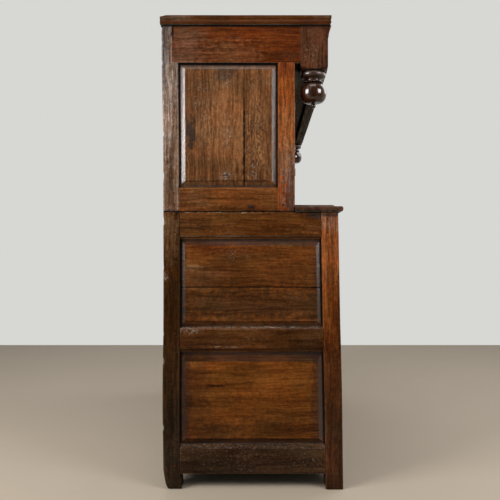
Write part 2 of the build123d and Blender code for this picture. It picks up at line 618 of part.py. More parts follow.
def upper_frame():
    """The upper stage's left side and front, and the canopy's posts and side rails, joined."""
    left = -HALF_WIDTH
    stile_x = (left, left + STILE[0])
    stile_space = bar(stile_x, (-UPPER_DEPTH, -UPPER_DEPTH + STILE[1]), (WAIST_Z, FRIEZE_Z))
    stile = chamfer(stile_space.edges().filter_by(Axis.Z).sort_by(Axis.X)[:2].sort_by(Axis.Y)[:1], ARRIS)
    tenon_x = -(RAIL_IN + FRAME / 2)
    tenon_y = (-UPPER_DEPTH + SHOULDER, -UPPER_DEPTH + STILE[1] - SHOULDER)
    stile += bar((tenon_x - TENON / 2, tenon_x + TENON / 2), tenon_y, (FRIEZE_Z - 5, FRIEZE_Z + 38))
    post_space = bar((left, left + UPPER_POST[0]), (-UPPER_POST[1], 0), (WAIST_Z, TOP_Z))
    post = chamfer(post_space.edges().filter_by(Axis.Z).sort_by(Axis.X)[:2], ARRIS)
    stile_back = UPPER_DEPTH - STILE[1]
    block_back = CANOPY_DEPTH - BLOCK
    lap = UPPER_POST[1] - FRIEZE_LAP

    bottom = edged_rail((-stile_back, -UPPER_POST[1]), UPPER_BOTTOM_RAIL, 0, 6.0)
    bottom += side_tenon((-stile_back - 38, -UPPER_POST[1] + 38), UPPER_BOTTOM_RAIL)
    frieze_side = edged_rail((-block_back, -lap), (FRIEZE_Z, TOP_Z), 0, 0)
    frieze_side += side_tenon((-block_back - 40, -lap + 20), (FRIEZE_Z, TOP_Z))
    frieze_side -= stile
    post -= bar((left, -RAIL_IN), (-UPPER_POST[1], -lap), (FRIEZE_Z, TOP_Z))
    corners = rectangle((UPPER_POST[1], stile_back), (UPPER_BOTTOM_RAIL[1], FRIEZE_Z))
    panel, groove = fielded_panel(corners, side_plane(), BEVELS)
    panel -= shrunk_joint()
    stile, post, bottom, frieze_side = seat((stile, post, bottom, frieze_side), groove)
    stile, post = seat((stile, post), bottom)
    post, pendant = seat((post, pendant_post()), frieze_side)

    half = HALF_WIDTH - STILE[0]
    front_rails = [front_rail(half, UPPER_DEPTH, z, 50) for z in (UPPER_BOTTOM_RAIL, UPPER_TOP_RAIL)]
    opening_z = (UPPER_BOTTOM_RAIL[1], UPPER_TOP_RAIL[0])
    muntins = both(front_muntin(UPPER_DEPTH, opening_z, 30, 30))
    opening = rectangle((-MUNTIN[0], MUNTIN[0]), opening_z)
    centre, groove = fielded_panel(opening, front_plane(UPPER_DEPTH), BEVELS)
    front_rails, muntins = seat(front_rails, groove), seat(muntins, groove)
    for muntin in muntins:
        front_rails = seat(front_rails, muntin)
    stile = cut(stile, *front_rails)
    nodes = {
        "upper_rear_posts": [post],
        "upper_front_stiles": both(stile),
        "upper_side_rails": both(bottom),
        "upper_side_panels": both(panel),
        "upper_front_rails": front_rails,
        "upper_muntins": muntins,
        "upper_centre_panel": [centre],
        "pendant_posts": [pendant],
        "frieze_rails": both(frieze_side),
    }
    return nodes, both(stile_space) + both(post_space)


def upper_stage():
    """The upper stage and its canopy without the doors, as nodes."""
    nodes, spaces = upper_frame()
    post, pendant = nodes["upper_rear_posts"][0], nodes["pendant_posts"][0]

    # Back frame and level back boards
    rear_half = HALF_WIDTH - UPPER_POST[0]
    rear = BACK_BOARD + BACK_RAIL_THICK
    back_rails = [
        front_rail(rear_half, rear, z, 22, BACK_RAIL_THICK)
        for z in ((WAIST_Z, WAIST_Z + 68), (TOP_Z - 77, TOP_Z))
    ]
    rebated = rear_half + BACK_BOARD
    back_boards = boards((-rebated, rebated), (-BACK_BOARD, 0), (WAIST_Z, TOP_Z), 5, 2)
    post -= bar((-rebated, 0), (-BACK_BOARD, 0), (WAIST_Z, TOP_Z))
    floor_x = (-INSIDE, INSIDE)
    floor = boards(floor_x, (-UPPER_DEPTH + FRAME, -rear), (WAIST_Z, WAIST_Z + FLOOR), 3, 1)

    # Front of the canopy and the boards that close it
    frieze_front = front_rail(HALF_WIDTH - BLOCK, CANOPY_DEPTH, (BLOCK_Z, TOP_Z), 45, FRIEZE_FRONT)
    soffit_y = (-CANOPY_DEPTH + FRIEZE_FRONT - 6, -UPPER_DEPTH + FRAME)
    block_space = bar((-HALF_WIDTH, -HALF_WIDTH + BLOCK), (-CANOPY_DEPTH, -CANOPY_DEPTH + BLOCK), (0, TOP_Z))
    soffit = cut(bar(floor_x, soffit_y, (FRIEZE_Z, FRIEZE_Z + SOFFIT)), *both(block_space))
    frieze_front -= soffit
    inner = HALF_WIDTH + CORNICE[0] - CORNICE_WIDE
    top_y = (-CANOPY_DEPTH - CORNICE[0] + CORNICE_WIDE, REAR_OVERHANG)
    nodes["frieze_rails"].append(frieze_front)
    return {
        **nodes,
        "upper_rear_posts": both(cut(post, *back_rails)),
        "upper_floor": [cut(board, *spaces) for board in floor],
        "upper_back": back_rails + back_boards,
        "pendant_posts": both(pendant - frieze_front),
        "soffit_board": [soffit],
        "top_boards": boards((-inner, inner), top_y, (TOP_Z, TOP_Z + TOP_BOARD), 4, 1),
        "cornice_mouldings": cornice(),
        "ledge_board": [ledge()],
    }


def doors_and_stops():
    """The four doors, the fixed halves of their hinges, and the stop blocks that they shut against."""
    nodes = {"hinge_fixed_leaves": [], "door_stops": []}
    base_z = (FRONT_BOTTOM_RAIL[1], DRAWER_RAIL[0])
    upper_z = (UPPER_BOTTOM_RAIL[1], UPPER_TOP_RAIL[0])
    for stage, edge, z, depth, place in (
        ("base", HALF_WIDTH - FRONT_POST[0], base_z, BASE_DEPTH, lean),
        ("upper", HALF_WIDTH - STILE[0], upper_z, UPPER_DEPTH, upright),
    ):
        pieces, fixed = door((-edge, -MUNTIN[1]), z, depth)
        for name, solids in pieces.items():
            left = [place(solid) for solid in solids]
            nodes[f"{stage}_left_door_{name}"] = left
            nodes[f"{stage}_right_door_{name}"] = [mirror(solid, Plane.YZ) for solid in left]
        for solid in fixed:
            nodes["hinge_fixed_leaves"] += both(place(solid))
        stop_x = [-MUNTIN[1] - reach for reach in DOOR_STOP]
        stop = bar(stop_x, (-depth + DOOR + 0.3, -depth + FRAME + 16), (z[1] - 9, z[1] + 22))
        stop -= bar((-HALF_WIDTH, 0), (-depth, -depth + FRAME), (z[1], z[1] + 50))
        nodes["door_stops"] += both(place(stop))
    return nodes


def drawers():
    nodes = {}
    half = HALF_WIDTH - FRONT_POST[0]
    for side, x in (
        ("left", (-half, -MUNTIN[1])),
        ("centre", (-MUNTIN[0], MUNTIN[0])),
        ("right", (MUNTIN[1], half)),
    ):
        for name, solids in drawer(x).items():
            nodes[f"{side}_drawer_{name}"] = solids
    return nodes


def main():
    os.makedirs("parts", exist_ok=True)
    for name, pieces in {**base(), **upper_stage(), **doors_and_stops(), **drawers()}.items():
        solids = [solid for piece in pieces for solid in piece.solids()]
        export_step(Pos(0, BACK_Y, 0) * Compound(solids), f"parts/{name}.step")
        print(name, len(solids))


main()
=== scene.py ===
import json
import math
import random

import bmesh
import bpy
from mathutils import Matrix, Vector, noise


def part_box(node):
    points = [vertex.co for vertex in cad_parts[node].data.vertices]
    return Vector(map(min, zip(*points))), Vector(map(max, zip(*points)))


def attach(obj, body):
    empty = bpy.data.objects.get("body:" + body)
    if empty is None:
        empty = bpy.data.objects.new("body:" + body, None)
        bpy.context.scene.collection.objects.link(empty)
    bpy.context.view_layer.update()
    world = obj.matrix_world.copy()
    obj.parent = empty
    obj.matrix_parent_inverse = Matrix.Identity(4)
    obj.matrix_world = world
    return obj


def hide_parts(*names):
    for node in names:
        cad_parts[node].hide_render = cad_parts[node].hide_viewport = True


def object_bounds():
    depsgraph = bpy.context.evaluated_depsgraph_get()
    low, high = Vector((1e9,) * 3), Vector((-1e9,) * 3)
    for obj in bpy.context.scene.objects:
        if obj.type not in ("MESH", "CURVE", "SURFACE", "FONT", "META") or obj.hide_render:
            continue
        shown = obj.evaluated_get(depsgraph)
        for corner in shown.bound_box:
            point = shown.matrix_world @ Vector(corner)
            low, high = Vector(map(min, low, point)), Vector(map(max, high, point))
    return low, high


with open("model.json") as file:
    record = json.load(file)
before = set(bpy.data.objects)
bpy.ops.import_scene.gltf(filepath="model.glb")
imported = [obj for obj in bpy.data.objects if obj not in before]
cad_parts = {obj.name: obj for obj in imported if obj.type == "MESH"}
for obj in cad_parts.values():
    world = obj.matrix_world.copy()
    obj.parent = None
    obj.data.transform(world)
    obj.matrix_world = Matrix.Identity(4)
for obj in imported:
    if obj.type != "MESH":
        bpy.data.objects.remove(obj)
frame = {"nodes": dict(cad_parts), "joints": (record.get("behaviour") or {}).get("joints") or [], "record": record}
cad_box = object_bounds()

# Court cupboard in old joined oak. The sawn and planed pieces and the hinges are the frame's solids with
# their arrises worn round, and the oak has gone a little out of true. The turned work, the pegs and the nails
# are made here. Metres, in the frame's own axes: +X to the right of the front, -Y to the front, +Z up.

MM = 0.001

# ---- The cupboard's own sizes ----
HALF_WIDTH = 0.70
REAR = 0.316  # plane of the back
WAIST, TOP = 0.952, 1.62
BASE_FRONT = REAR - 0.600  # at the waist
UPPER_FRONT = REAR - 0.451
RAKE = math.radians(1.0)  # lean of the base's front

# ---- Arrises and cuts ----
ARRIS = 1.3 * MM  # rounding of the edges
BOARD_ARRIS = 2.6 * MM  # the same on the rough boards of the back
IRON_ARRIS = 0.35 * MM  # and on the hinges
ARRIS_STEPS = 2
SHARP = math.radians(30)  # edges sharper than this are worn
SHORTEST = 4.0 * MM  # an edge isn't worn where it meets a shorter one
SPAN = 28 * MM  # distance between the cuts that let a piece bend
FINE_SPAN = 8 * MM  # the same where an edge is chipped
LONG_SPAN = 45 * MM  # and on the boards inside
PLANED_SMOOTH = math.radians(18)  # edges sharper than this are shaded hard
TURNED_SMOOTH = math.radians(32)

# ---- Wear and age ----
# A pair of places is where a change starts and where it is full: a RISE in height, a PART in depth.
SWAY, SWAY_PITCH = 0.7 * MM, 2.6  # slow waves that run on through neighbouring pieces; waves to a metre
RIPPLE, RIPPLE_PITCH = 0.3 * MM, 9.0  # the same for each piece's own unevenness
WAVE_SEED = 7
noise.seed_set(WAVE_SEED)  # without it the waves are drawn from the clock, and differ at each run
HINGE_REACH = (30 * MM, 75 * MM)  # round the axes, where nothing strays and where it does again
LATCH_REACH = (55 * MM, 110 * MM)
REAR_PART = (0.20, 0.31)
FRONT_PART = (0.16, 0.28)  # towards the front
CORNER = (0.655, 0.69)  # from the middle, towards either side
POST_LEAN = 6.5 * MM  # the upper stage's back edge leans out at the top
LEAN_RISE = (WAIST + 0.12, TOP - 0.06)
REAR_BULGE, FRONT_BULGE = 3.0 * MM, 1.8 * MM  # the base's posts bow out between waist and floor
BULGE_RISE = (0.0, 0.62)
FOOT_WEAR, FOOT_RISE = 9.0 * MM, (0.0, 0.075)  # the rear feet are worn away at the back
HEEL_WEAR, HEEL_RISE = 13.0 * MM, (-0.02, 0.026)  # most of all at the very bottom
HEEL_PART = (0.26, 0.316)
CORNICE_WEAR = 5.0 * MM  # the rear ends of the cornice are worn at the top
CORNICE_RISE, CORNICE_PART = (1.60, 1.62), (0.295, 0.325)
CHIP_DEPTH, CHIP_PITCH = 22 * MM, 31  # chips along the rear edges, and about how many to a metre
CHIP_ONSET = 0.36  # the higher, the fewer
CHIP_ROW = 3.1  # the row of the noise that places them
CHIP_CORNER, CHIP_PART = (0.684, 0.699), (0.300, 0.315)

# ---- Turned work, pegs and nails ----
PENDANT_BLOCK = 95 * MM
PENDANT_FLATS, KNOB_FLATS = 120, 48
HANDLED = 94 * MM  # height above the pendant's foot up to which hands have polished it
SHOULDER = 125 * MM  # and from which the block has the frame's finish
BLOCK_ARRIS = 1.2 * MM
RING_BEADS, BEAD_DEPTH = 15, 2.2 * MM
PEG = (3.6 * MM, 0.6 * MM, 9, 3.2 * MM)  # radius, height, sides and radius of the flat top
NAIL = (2.6 * MM, 0.9 * MM, 7, 1.6 * MM)
PEG_SPREAD = 0.24  # share of a rail's width between its middle and each peg
SIDE_PEG_INSETS = {"base_side_rails": 22 * MM, "upper_side_rails": 20 * MM}  # from a rail's end
FRONT_PEG_INSET = 20 * MM
# Millimetres up from the leaf's middle, and out from the pin
NAILS_IN_LEAF = ((-30, 17), (-14, 11), (14, 11), (30, 17))
LEAF_FACE = 1.6 * MM  # from the pin's axis back to the face of the leaf

# ---- Camera ----
CAMERA_PLACE = (-2.62, -0.029, 0.8065)
CAMERA_LENS, CAMERA_SENSOR = 40.4, 36
CAMERA_SHIFT = (-0.028, 0.008)

# ---- Studio ----
FLOOR_REACH = 2.35
FLOOR_COLOUR = (0.29, 0.24, 0.182, 1)
BACKGROUND = (0.68, 0.68, 0.66, 1)
DARK_ROOM = (0.03, 0.03, 0.03, 1)
PALE_SIDE = (0.9, 0.43, 0.0)  # towards the pale walls
FILL = 0.36  # strength of the even light
AIM = (0, 0, 0.85)
# Soft boxes: name, degrees round from the left side towards the back, elevation, distance, size, radiance
SOFT_BOXES = (
    ("key_soft_box", 48, 20, 3.0, 1.3, 15.5),
    ("side_soft_box", -44, 20, 3.1, 1.05, 13.0),
    ("overhead_soft_box", 0, 62, 3.2, 1.7, 1.9),
    ("front_soft_box", -112, 38, 3.2, 2.1, 2.9),
    ("far_soft_box", 160, 45, 3.2, 1.4, 2.4),
)

# ---- Names and bodies ----
BODIES = frame["record"]["behaviour"]["bodies"]
BODY_OF = {node: body for body, nodes in BODIES.items() for node in nodes}
SLOT_OF = {part["node"]: part["material_slot"] for part in frame["record"]["subparts"]}
DOORS = [(stage, side) for stage in ("base", "upper") for side in ("left", "right")]
RUNNING = ("_turn_button", "_sides", "_bottom", "_runners")  # ends of the names of what must run true


def put(name, data):
    """A new object in the scene."""
    made = bpy.data.objects.new(name, data)
    bpy.context.scene.collection.objects.link(made)
    return made


def hand_over(piece, node, material, other=None, where=None):
    """Gives a piece its finish, and the body and the place of the node that it stands for.

    The faces that where picks get the other finish.
    """
    piece.data.materials.clear()
    piece.data.materials.append(material)
    if other:
        piece.data.materials.append(other)
        for face in piece.data.polygons:
            face.material_index = int(where(face))
    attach(piece, BODY_OF[node])
    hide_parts(node)


# ---- Worn solids ----
def shells(node):
    """The closed solids of a node, as lists of triangles of points."""
    mesh = frame["nodes"][node].data
    places = [tuple(vertex.co) for vertex in mesh.vertices]
    found, triangles, unmatched = [], [], {}
    for face in mesh.polygons:
        corners = [places[index] for index in face.vertices]
        triangles.append(corners)
        for edge in zip(corners, corners[1:] + corners[:1]):
            back = edge[::-1]
            if unmatched.get(back):
                unmatched[back] -= 1
                if not unmatched[back]:
                    del unmatched[back]
            else:
                unmatched[edge] = unmatched.get(edge, 0) + 1
        if not unmatched:
            found.append(triangles)
            triangles = []
    return found


def welded(triangles):
    """One solid as a mesh whose flat faces are whole."""
    solid = bmesh.new()
    vertices = {}
    for corners in triangles:
        for corner in corners:
            if corner not in vertices:
                vertices[corner] = solid.verts.new(corner)
        solid.faces.new([vertices[corner] for corner in corners])
    bmesh.ops.dissolve_limit(solid, angle_limit=0.01, verts=solid.verts, edges=solid.edges)
    return solid


def extent(places):
    """Lowest and highest corner of the box round some points."""
    low = Vector([min(place[axis] for place in places) for axis in range(3)])
    high = Vector([max(place[axis] for place in places) for axis in range(3)])
    return low, high


def wear_edges(solid, arris, width):
    """Rounds the outer edges, where there is room for it, and marks the new faces."""
    chosen = []
    for edge in solid.edges:
        if len(edge.link_faces) != 2 or edge.calc_face_angle_signed(0) < SHARP:
            continue
        beside = [other for vertex in edge.verts for other in vertex.link_edges]
        if min(other.calc_length() for other in beside) > max(SHORTEST, 2.5 * width):
            chosen.append(edge)
    made = bmesh.ops.bevel(
        solid, geom=chosen, offset=width, offset_type="OFFSET", segments=ARRIS_STEPS, profile=0.6,
        affect="EDGES", clamp_overlap=True,
    )
    for face in made["faces"]:
        face[arris] = 1.0


def divide(solid, low, high, span):
    """Cuts the faces across so that the piece can bend."""
    for axis in range(3):
        length = high[axis] - low[axis]
        normal = Vector([float(axis == other) for other in range(3)])
        cuts = int(length / span)
        for number in range(1, cuts + 1):
            place = low + normal * length * number / (cuts + 1)
            everything = [*solid.verts, *solid.edges, *solid.faces]
            bmesh.ops.bisect_plane(solid, geom=everything, plane_co=place, plane_no=normal, dist=1e-5)


def smooth_step(value, low, high):
    share = min(max((value - low) / (high - low), 0.0), 1.0)
    return share * share * (3 - 2 * share)


def chipped(place):
    """How deep the rear edges are bitten at a point."""
    reach = smooth_step(abs(place.x), *CHIP_CORNER) * smooth_step(place.y, *CHIP_PART)
    bite = max(noise.noise(Vector((place.x, CHIP_ROW, place.z * CHIP_PITCH))) - CHIP_ONSET, 0.0)
    return reach * bite * CHIP_DEPTH


def freedom(place):
    """How far a point may stray: not at all beside a hinge or a latch, so that the doors turn freely."""
    free = 1.0
    for joint in frame["joints"]:
        if joint["type"] == "hinge":
            away = place - Vector(joint["pos_m"])
            off = (away - away.project(Vector(joint["axis"]))).length
            free = min(free, smooth_step(off, *(LATCH_REACH if "latch" in joint["name"] else HINGE_REACH)))
    return free


def settled(place, own):
    """Where a point has gone with age, within the frame's box."""
    sway = noise.noise_vector(place * SWAY_PITCH) * SWAY
    ripple = noise.noise_vector(place * RIPPLE_PITCH + own) * RIPPLE
    moved = place + (sway + ripple) * freedom(place)
    moved.y -= chipped(place)
    moved.z -= CORNICE_WEAR * smooth_step(place.z, *CORNICE_RISE) * smooth_step(place.y, *CORNICE_PART)
    rear = smooth_step(place.y, *REAR_PART)
    if place.z > WAIST:
        moved.y += rear * POST_LEAN * smooth_step(place.z, *LEAN_RISE)
    else:
        front = smooth_step(-place.y, *FRONT_PART) * smooth_step(abs(place.x), *CORNER)
        bow = math.sin(math.pi * smooth_step(place.z, *BULGE_RISE))
        moved.y += rear * REAR_BULGE * bow
        moved.y -= front * FRONT_BULGE * bow
        moved.y -= rear * FOOT_WEAR * (1 - smooth_step(place.z, *FOOT_RISE))
        moved.y -= smooth_step(place.y, *HEEL_PART) * HEEL_WEAR * (1 - smooth_step(place.z, *HEEL_RISE))
    for axis in range(3):
        moved[axis] = min(max(moved[axis], cad_box[0][axis]), cad_box[1][axis])
    return moved


def grain_frame(low, high, chance):
    """Turns a place in the piece into grain coordinates: along the plank, across it and through it."""
    size = high - low
    order = sorted(range(3), key=lambda axis: -size[axis])
    middle = (low + high) / 2
    start = Vector((chance.uniform(-20, 20), chance.uniform(0.02, 0.16), chance.uniform(0.03, 0.2)))

    def coordinates(place):
        away = place - middle
        return start + Vector([away[axis] for axis in order])

    return coordinates


def field_face(solid, outward):
    """A point and the normal of a panel's field: its largest face that looks outward."""
    fields = [face for face in solid.faces if face.normal.dot(outward) > 0.9]
    field = max(fields, key=lambda face: face.calc_area())
    return field.calc_center_median(), field.normal.copy()


class Stock:
    """The points and faces of a piece's solids, with the grain of each, on their way to one mesh."""

    def __init__(self, name):
        self.name = name
        self.chance = random.Random(name)
        self.points, self.faces, self.grain, self.sunk = [], [], [], []
        self.arris, self.plank = [], []

    def add(self, solid, arris, move, coordinates, field=None):
        start = len(self.points)
        tone = self.chance.random()
        solid.verts.index_update()
        for vertex in solid.verts:
            self.points.append(move(vertex.co))
            self.grain.extend(coordinates(vertex.co))
            self.sunk.append((field[0] - vertex.co).dot(field[1]) if field else 0.0)
        for face in solid.faces:
            self.faces.append([start + vertex.index for vertex in face.verts])
            self.arris.append(face[arris] if arris else 0.0)
            self.plank.append(tone)
        solid.free()

    def mesh_object(self, smooth):
        mesh = bpy.data.meshes.new(self.name)
        mesh.from_pydata(self.points, [], self.faces)
        mesh.attributes.new("grain", "FLOAT_VECTOR", "POINT").data.foreach_set("vector", self.grain)
        mesh.attributes.new("sunk", "FLOAT", "POINT").data.foreach_set("value", self.sunk)
        upward = [face.normal.z for face in mesh.polygons]
        for name, values in (("arris", self.arris), ("plank", self.plank), ("upward", upward)):
            mesh.attributes.new(name, "FLOAT", "FACE").data.foreach_set("value", values)
        mesh.polygons.foreach_set("use_smooth", [True] * len(mesh.polygons))
        mesh.set_sharp_from_angle(angle=smooth)
        return put(self.name, mesh)


def worn(node, span, width):
    """A node's solids, each worn, and out of true if there is a span to bend in."""
    stock = Stock(f"{node}_worn")
    for triangles in shells(node):
        solid = welded(triangles)
        arris = solid.faces.layers.float.new("arris")
        low, high = extent([vertex.co for vertex in solid.verts])
        coordinates = grain_frame(low, high, stock.chance)
        own = Vector([stock.chance.uniform(-50, 50) for axis in range(3)])
        field = None
        if SLOT_OF[node] == "oak_panels":
            side = math.copysign(1.0, low.x + high.x)
            field = field_face(solid, Vector((side, 0, 0) if "side" in node else (0, -1, 0)))
        wear_edges(solid, arris, width)
        if span:
            divide(solid, *extent([vertex.co for vertex in solid.verts]), span)
        move = (lambda place: settled(place, own)) if span else Vector.copy
        stock.add(solid, arris, move, coordinates, field)
    return stock.mesh_object(PLANED_SMOOTH)


# ---- Turned work ----
def turned(name, profile, place, flats, square=None, notched=None):
    """A piece turned about its own Z from (height, radius) points, and set with place.

    square is (low, high, half width): between those heights the piece is cut from a square bar.
    notched is (low, high, notches, depth) for a ring that is carved into beads.
    """
    stock = Stock(name)
    solid = bmesh.new()
    rings = []
    for height, radius in profile:
        ring = []
        for number in range(flats):
            angle = 2 * math.pi * number / flats
            reach = radius
            if notched and notched[0] < height < notched[1]:
                reach -= notched[3] * abs(math.sin(angle * notched[2] / 2)) ** 6  # narrow notches
            if square and square[0] <= height <= square[1]:
                across = square[2] / max(abs(math.cos(angle)), abs(math.sin(angle)))
                reach = min(radius, across, square[2] * math.sqrt(2) - BLOCK_ARRIS)
            ring.append(solid.verts.new((reach * math.cos(angle), reach * math.sin(angle), height)))
        rings.append(ring)
    for low, high in zip(rings, rings[1:]):
        for number in range(flats):
            after = (number + 1) % flats
            solid.faces.new((low[number], low[after], high[after], high[number]))
    solid.faces.new(rings[0][::-1])
    solid.faces.new(rings[-1])
    start = Vector((stock.chance.uniform(-20, 20), 0.004, 0.007))
    stock.add(solid, None, lambda co: place @ co, lambda co: start + Vector((co.z, co.x, co.y)))
    return stock.mesh_object(TURNED_SMOOTH)


# Profiles are (height, radius) points in millimetres, from the low end to the high one
KNOB_RISE = 24
TENON = -16  # of a drawer's knob
TANG = [(-39, 9), (-24.05, 9), (-24, 6)]  # behind a door, where the turn-button sits
TANG_SIDE = 8 * MM


def swell(low, high, inner, outer, steps, fullness=1.0):
    """The rounded part of a profile between two heights. A fullness under 1 makes it squarer."""
    middle, half = (low + high) / 2, (high - low) / 2
    angles = [math.pi * number / steps - math.pi / 2 for number in range(steps + 1)]
    bulge = [max(math.cos(angle), 0.0) ** fullness for angle in angles]
    return [(middle + half * math.sin(a), inner + (outer - inner) * out) for a, out in zip(angles, bulge)]


def softened(points, rounds=2):
    """Rounds the corners of a profile."""
    for _ in range(rounds):
        cut = [points[0]]
        for (z0, r0), (z1, r1) in zip(points, points[1:]):
            cut += [(z0 + (z1 - z0) * share, r0 + (r1 - r0) * share) for share in (0.25, 0.75)]
        points = cut + [points[-1]]
    return points


def scaled(points, start=0.0):
    return [(start + height * MM, radius * MM) for height, radius in points]


def pendants():
    """The two corner posts of the canopy: square block, drum, cove, ring, ball and button."""
    low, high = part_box("pendant_posts")
    half = PENDANT_BLOCK / 2
    button = softened([(0, 1), (0, 5), (3, 8.5), (8, 9.3), (12, 7), (15, 6), (17, 7)])
    ball = swell(17, 83, 12, 46, 28, 0.6)
    neck = softened([(83, 26), (84, 27)], 1)
    ring = swell(84, 91, 28, 35, 10)
    cove = softened([(91, 28), (93, 26.5), (97, 27.5), (101, 33), (102, 36)])
    drum = swell(102, 122, 36, 43.5, 12)
    step = [(122, 38.5), (123, 38)]
    shoulder = [(123.2, 44), (124, 48), (126, 53), (130, 60), (134, 66), (138, 72), (144, 76), (180, 80)]
    profile = scaled(button + ball + neck + ring + cove + drum + step + shoulder, low.z)
    profile.append((high.z, PENDANT_BLOCK))
    square = (low.z + step[-1][0] * MM, high.z, half)
    notched = (low.z + (ring[0][0] + 0.5) * MM, low.z + (ring[-1][0] - 0.5) * MM, RING_BEADS, BEAD_DEPTH)
    made = []
    for side, hand in ((-1, "left"), (1, "right")):
        place = Matrix.Translation((side * (HALF_WIDTH - half), low.y + half, 0.0))
        made.append(turned(f"pendant_{hand}", profile, place, PENDANT_FLATS, square, notched))
    return made


def knob_profile(back, tang=()):
    """A mushroom knob, its collar on the face at height 0, on a shank that starts at height back."""
    stem = softened([(0, 11.2), (2.2, 11.2), (2.6, 8.6), (5, 7.2), (8, 6.6), (9.5, 8)])
    head = swell(9.5, KNOB_RISE, 7, 15, 16)
    return scaled([*tang, (back, 6.0), (-0.1, 6.0), *stem, *head, (KNOB_RISE, 0.6)])


def facing(place, outward):
    """Sets a piece's own Z along outward, at a place."""
    turn = Vector((0, 0, 1)).rotation_difference(Vector(outward)).to_matrix().to_4x4()
    return Matrix.Translation(place) @ turn


def joint_named(name):
    return next(joint for joint in frame["joints"] if joint["name"] == name)


def knobs():
    """The door knobs, each with its shank and square tang, and the drawer knobs on their tenons."""
    made = {}
    on_door = knob_profile(-23.9, TANG)
    square = (TANG[0][0] * MM, TANG[1][0] * MM, TANG_SIDE / 2)
    for stage, side in DOORS:
        joint = joint_named(f"{stage}_{side}_latch_turn")
        outward = Vector(joint["axis"]) * (1 if joint["axis"][1] < 0 else -1)
        node = f"{stage}_{side}_door_knob"
        made[node] = turned(f"{node}_turned", on_door, facing(joint["pos_m"], outward), KNOB_FLATS, square)
    outward = Vector((0, -math.cos(RAKE), math.sin(RAKE)))
    for side in ("left", "centre", "right"):
        node = f"{side}_drawer_knob"
        low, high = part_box(node)
        face = (low + high) / 2 + outward * ((high.y - low.y) / 2 - KNOB_RISE * MM)
        made[node] = turned(f"{node}_turned", knob_profile(TENON), facing(face, outward), KNOB_FLATS)
    return made


# ---- Building with nodes ----
def feed(tree, node, inputs):
    """Gives a node's inputs their values: numbers, colours, or the outputs that feed them."""
    for key, value in inputs.items():
        if isinstance(value, bpy.types.NodeSocket):
            tree.links.new(value, node.inputs[key])
        else:
            node.inputs[key].default_value = value


def new_node(tree, kind, inputs=None, **settings):
    made = tree.nodes.new(kind)
    for key, value in settings.items():
        setattr(made, key, value)
    feed(tree, made, inputs or {})
    return made


def shader_node(tree, kind, inputs=None, **settings):
    return new_node(tree, "ShaderNode" + kind, inputs, **settings)


def blank(name):
    """A new material, with its tree, its surface and the output that gives the place on the piece."""
    material = bpy.data.materials.new(name)
    material.use_nodes = True
    tree = material.node_tree
    return material, tree, tree.nodes["Principled BSDF"], shader_node(tree, "TexCoord").outputs["Object"]


def combined(tree, kind, values):
    result = values[0]
    for value in values[1:]:
        result = shader_node(tree, "Math", {0: result, 1: value}, operation=kind).outputs[0]
    return result


def added(tree, *values):
    return combined(tree, "ADD", values)


def times(tree, *values):
    return combined(tree, "MULTIPLY", values)


def larger(tree, *values):
    return combined(tree, "MAXIMUM", values)


def vector_math(tree, kind, *values):
    return shader_node(tree, "VectorMath", dict(enumerate(values)), operation=kind).outputs[0]


def coordinate(tree, place, axis):
    return shader_node(tree, "SeparateXYZ", {0: place}).outputs["XYZ".index(axis)]


def attribute(tree, name, kind="Fac"):
    return shader_node(tree, "Attribute", attribute_name=name).outputs[kind]


def speckle(tree, place, scale, detail, roughness=0.6, distortion=0.0):
    """Noise between 0 and 1, stretched by a scale along each axis."""
    spread = shader_node(tree, "Mapping", {"Vector": place, "Scale": scale}).outputs[0]
    values = {"Vector": spread, "Scale": 1.0, "Detail": detail, "Roughness": roughness}
    return shader_node(tree, "TexNoise", {**values, "Distortion": distortion}).outputs[0]


def ranged(tree, value, low, high, out_low=0.0, out_high=1.0):
    """A value that goes smoothly from out_low to out_high between low and high."""
    values = {"Value": value, "From Min": low, "From Max": high, "To Min": out_low, "To Max": out_high}
    return shader_node(tree, "MapRange", values, interpolation_type="SMOOTHSTEP").outputs[0]


def mixed(tree, share, first, second, how="MIX"):
    values = {0: share, 6: first, 7: second}
    return shader_node(tree, "Mix", values, data_type="RGBA", blend_type=how).outputs[2]


def raised(tree, height, distance, strength):
    """The normal of a surface with a relief."""
    values = {"Height": height, "Distance": distance, "Strength": strength}
    return shader_node(tree, "Bump", values).outputs[0]


def grey(value):
    return (value, value, value, 1)


def tinted(colour, factor, lift=0.0):
    return tuple(min(channel * factor + lift, 1.0) for channel in colour[:3]) + (1,)


def blot(tree, place, middle, size, ragged=0.45):
    """A soft patch about a depth and height on the sides, with a ragged edge."""
    shift = (0, -middle[0] / size[0], -middle[1] / size[1])
    values = {"Vector": place, "Location": shift, "Scale": (0, 1 / (size[0] * MM), 1 / (size[1] * MM))}
    away = shader_node(tree, "Mapping", values).outputs[0]
    distance = shader_node(tree, "VectorMath", {0: away}, operation="LENGTH").outputs["Value"]
    edge = ranged(tree, speckle(tree, place, (60, 60, 60), 3), 0.2, 0.8, -ragged, ragged)
    return ranged(tree, added(tree, distance, edge), 0.3, 1.1, 1.0, 0.0)


def marks(tree, place, middle, size, scale, spread):
    """Small broken marks in a patch; the spread is the share of it that they cover."""
    chance = speckle(tree, place, scale, 4, 0.7, 0.8)
    broken = ranged(tree, chance, 0.62 - 0.3 * spread, 0.70 - 0.3 * spread)
    return times(tree, broken, blot(tree, place, middle, size))


# ---- Oak ----
GRIME = (0.0115, 0.0072, 0.0038, 1)
# near-black of painted shade and dirt, for corners, hollows and a panel's sunk border
SHADE_AND_DIRT = (0.002, 0.0015, 0.0012, 1)
DUST = (0.17, 0.15, 0.125, 1)
SHARE = 0.38  # keeps the shares of a tone that the figure gives below 1


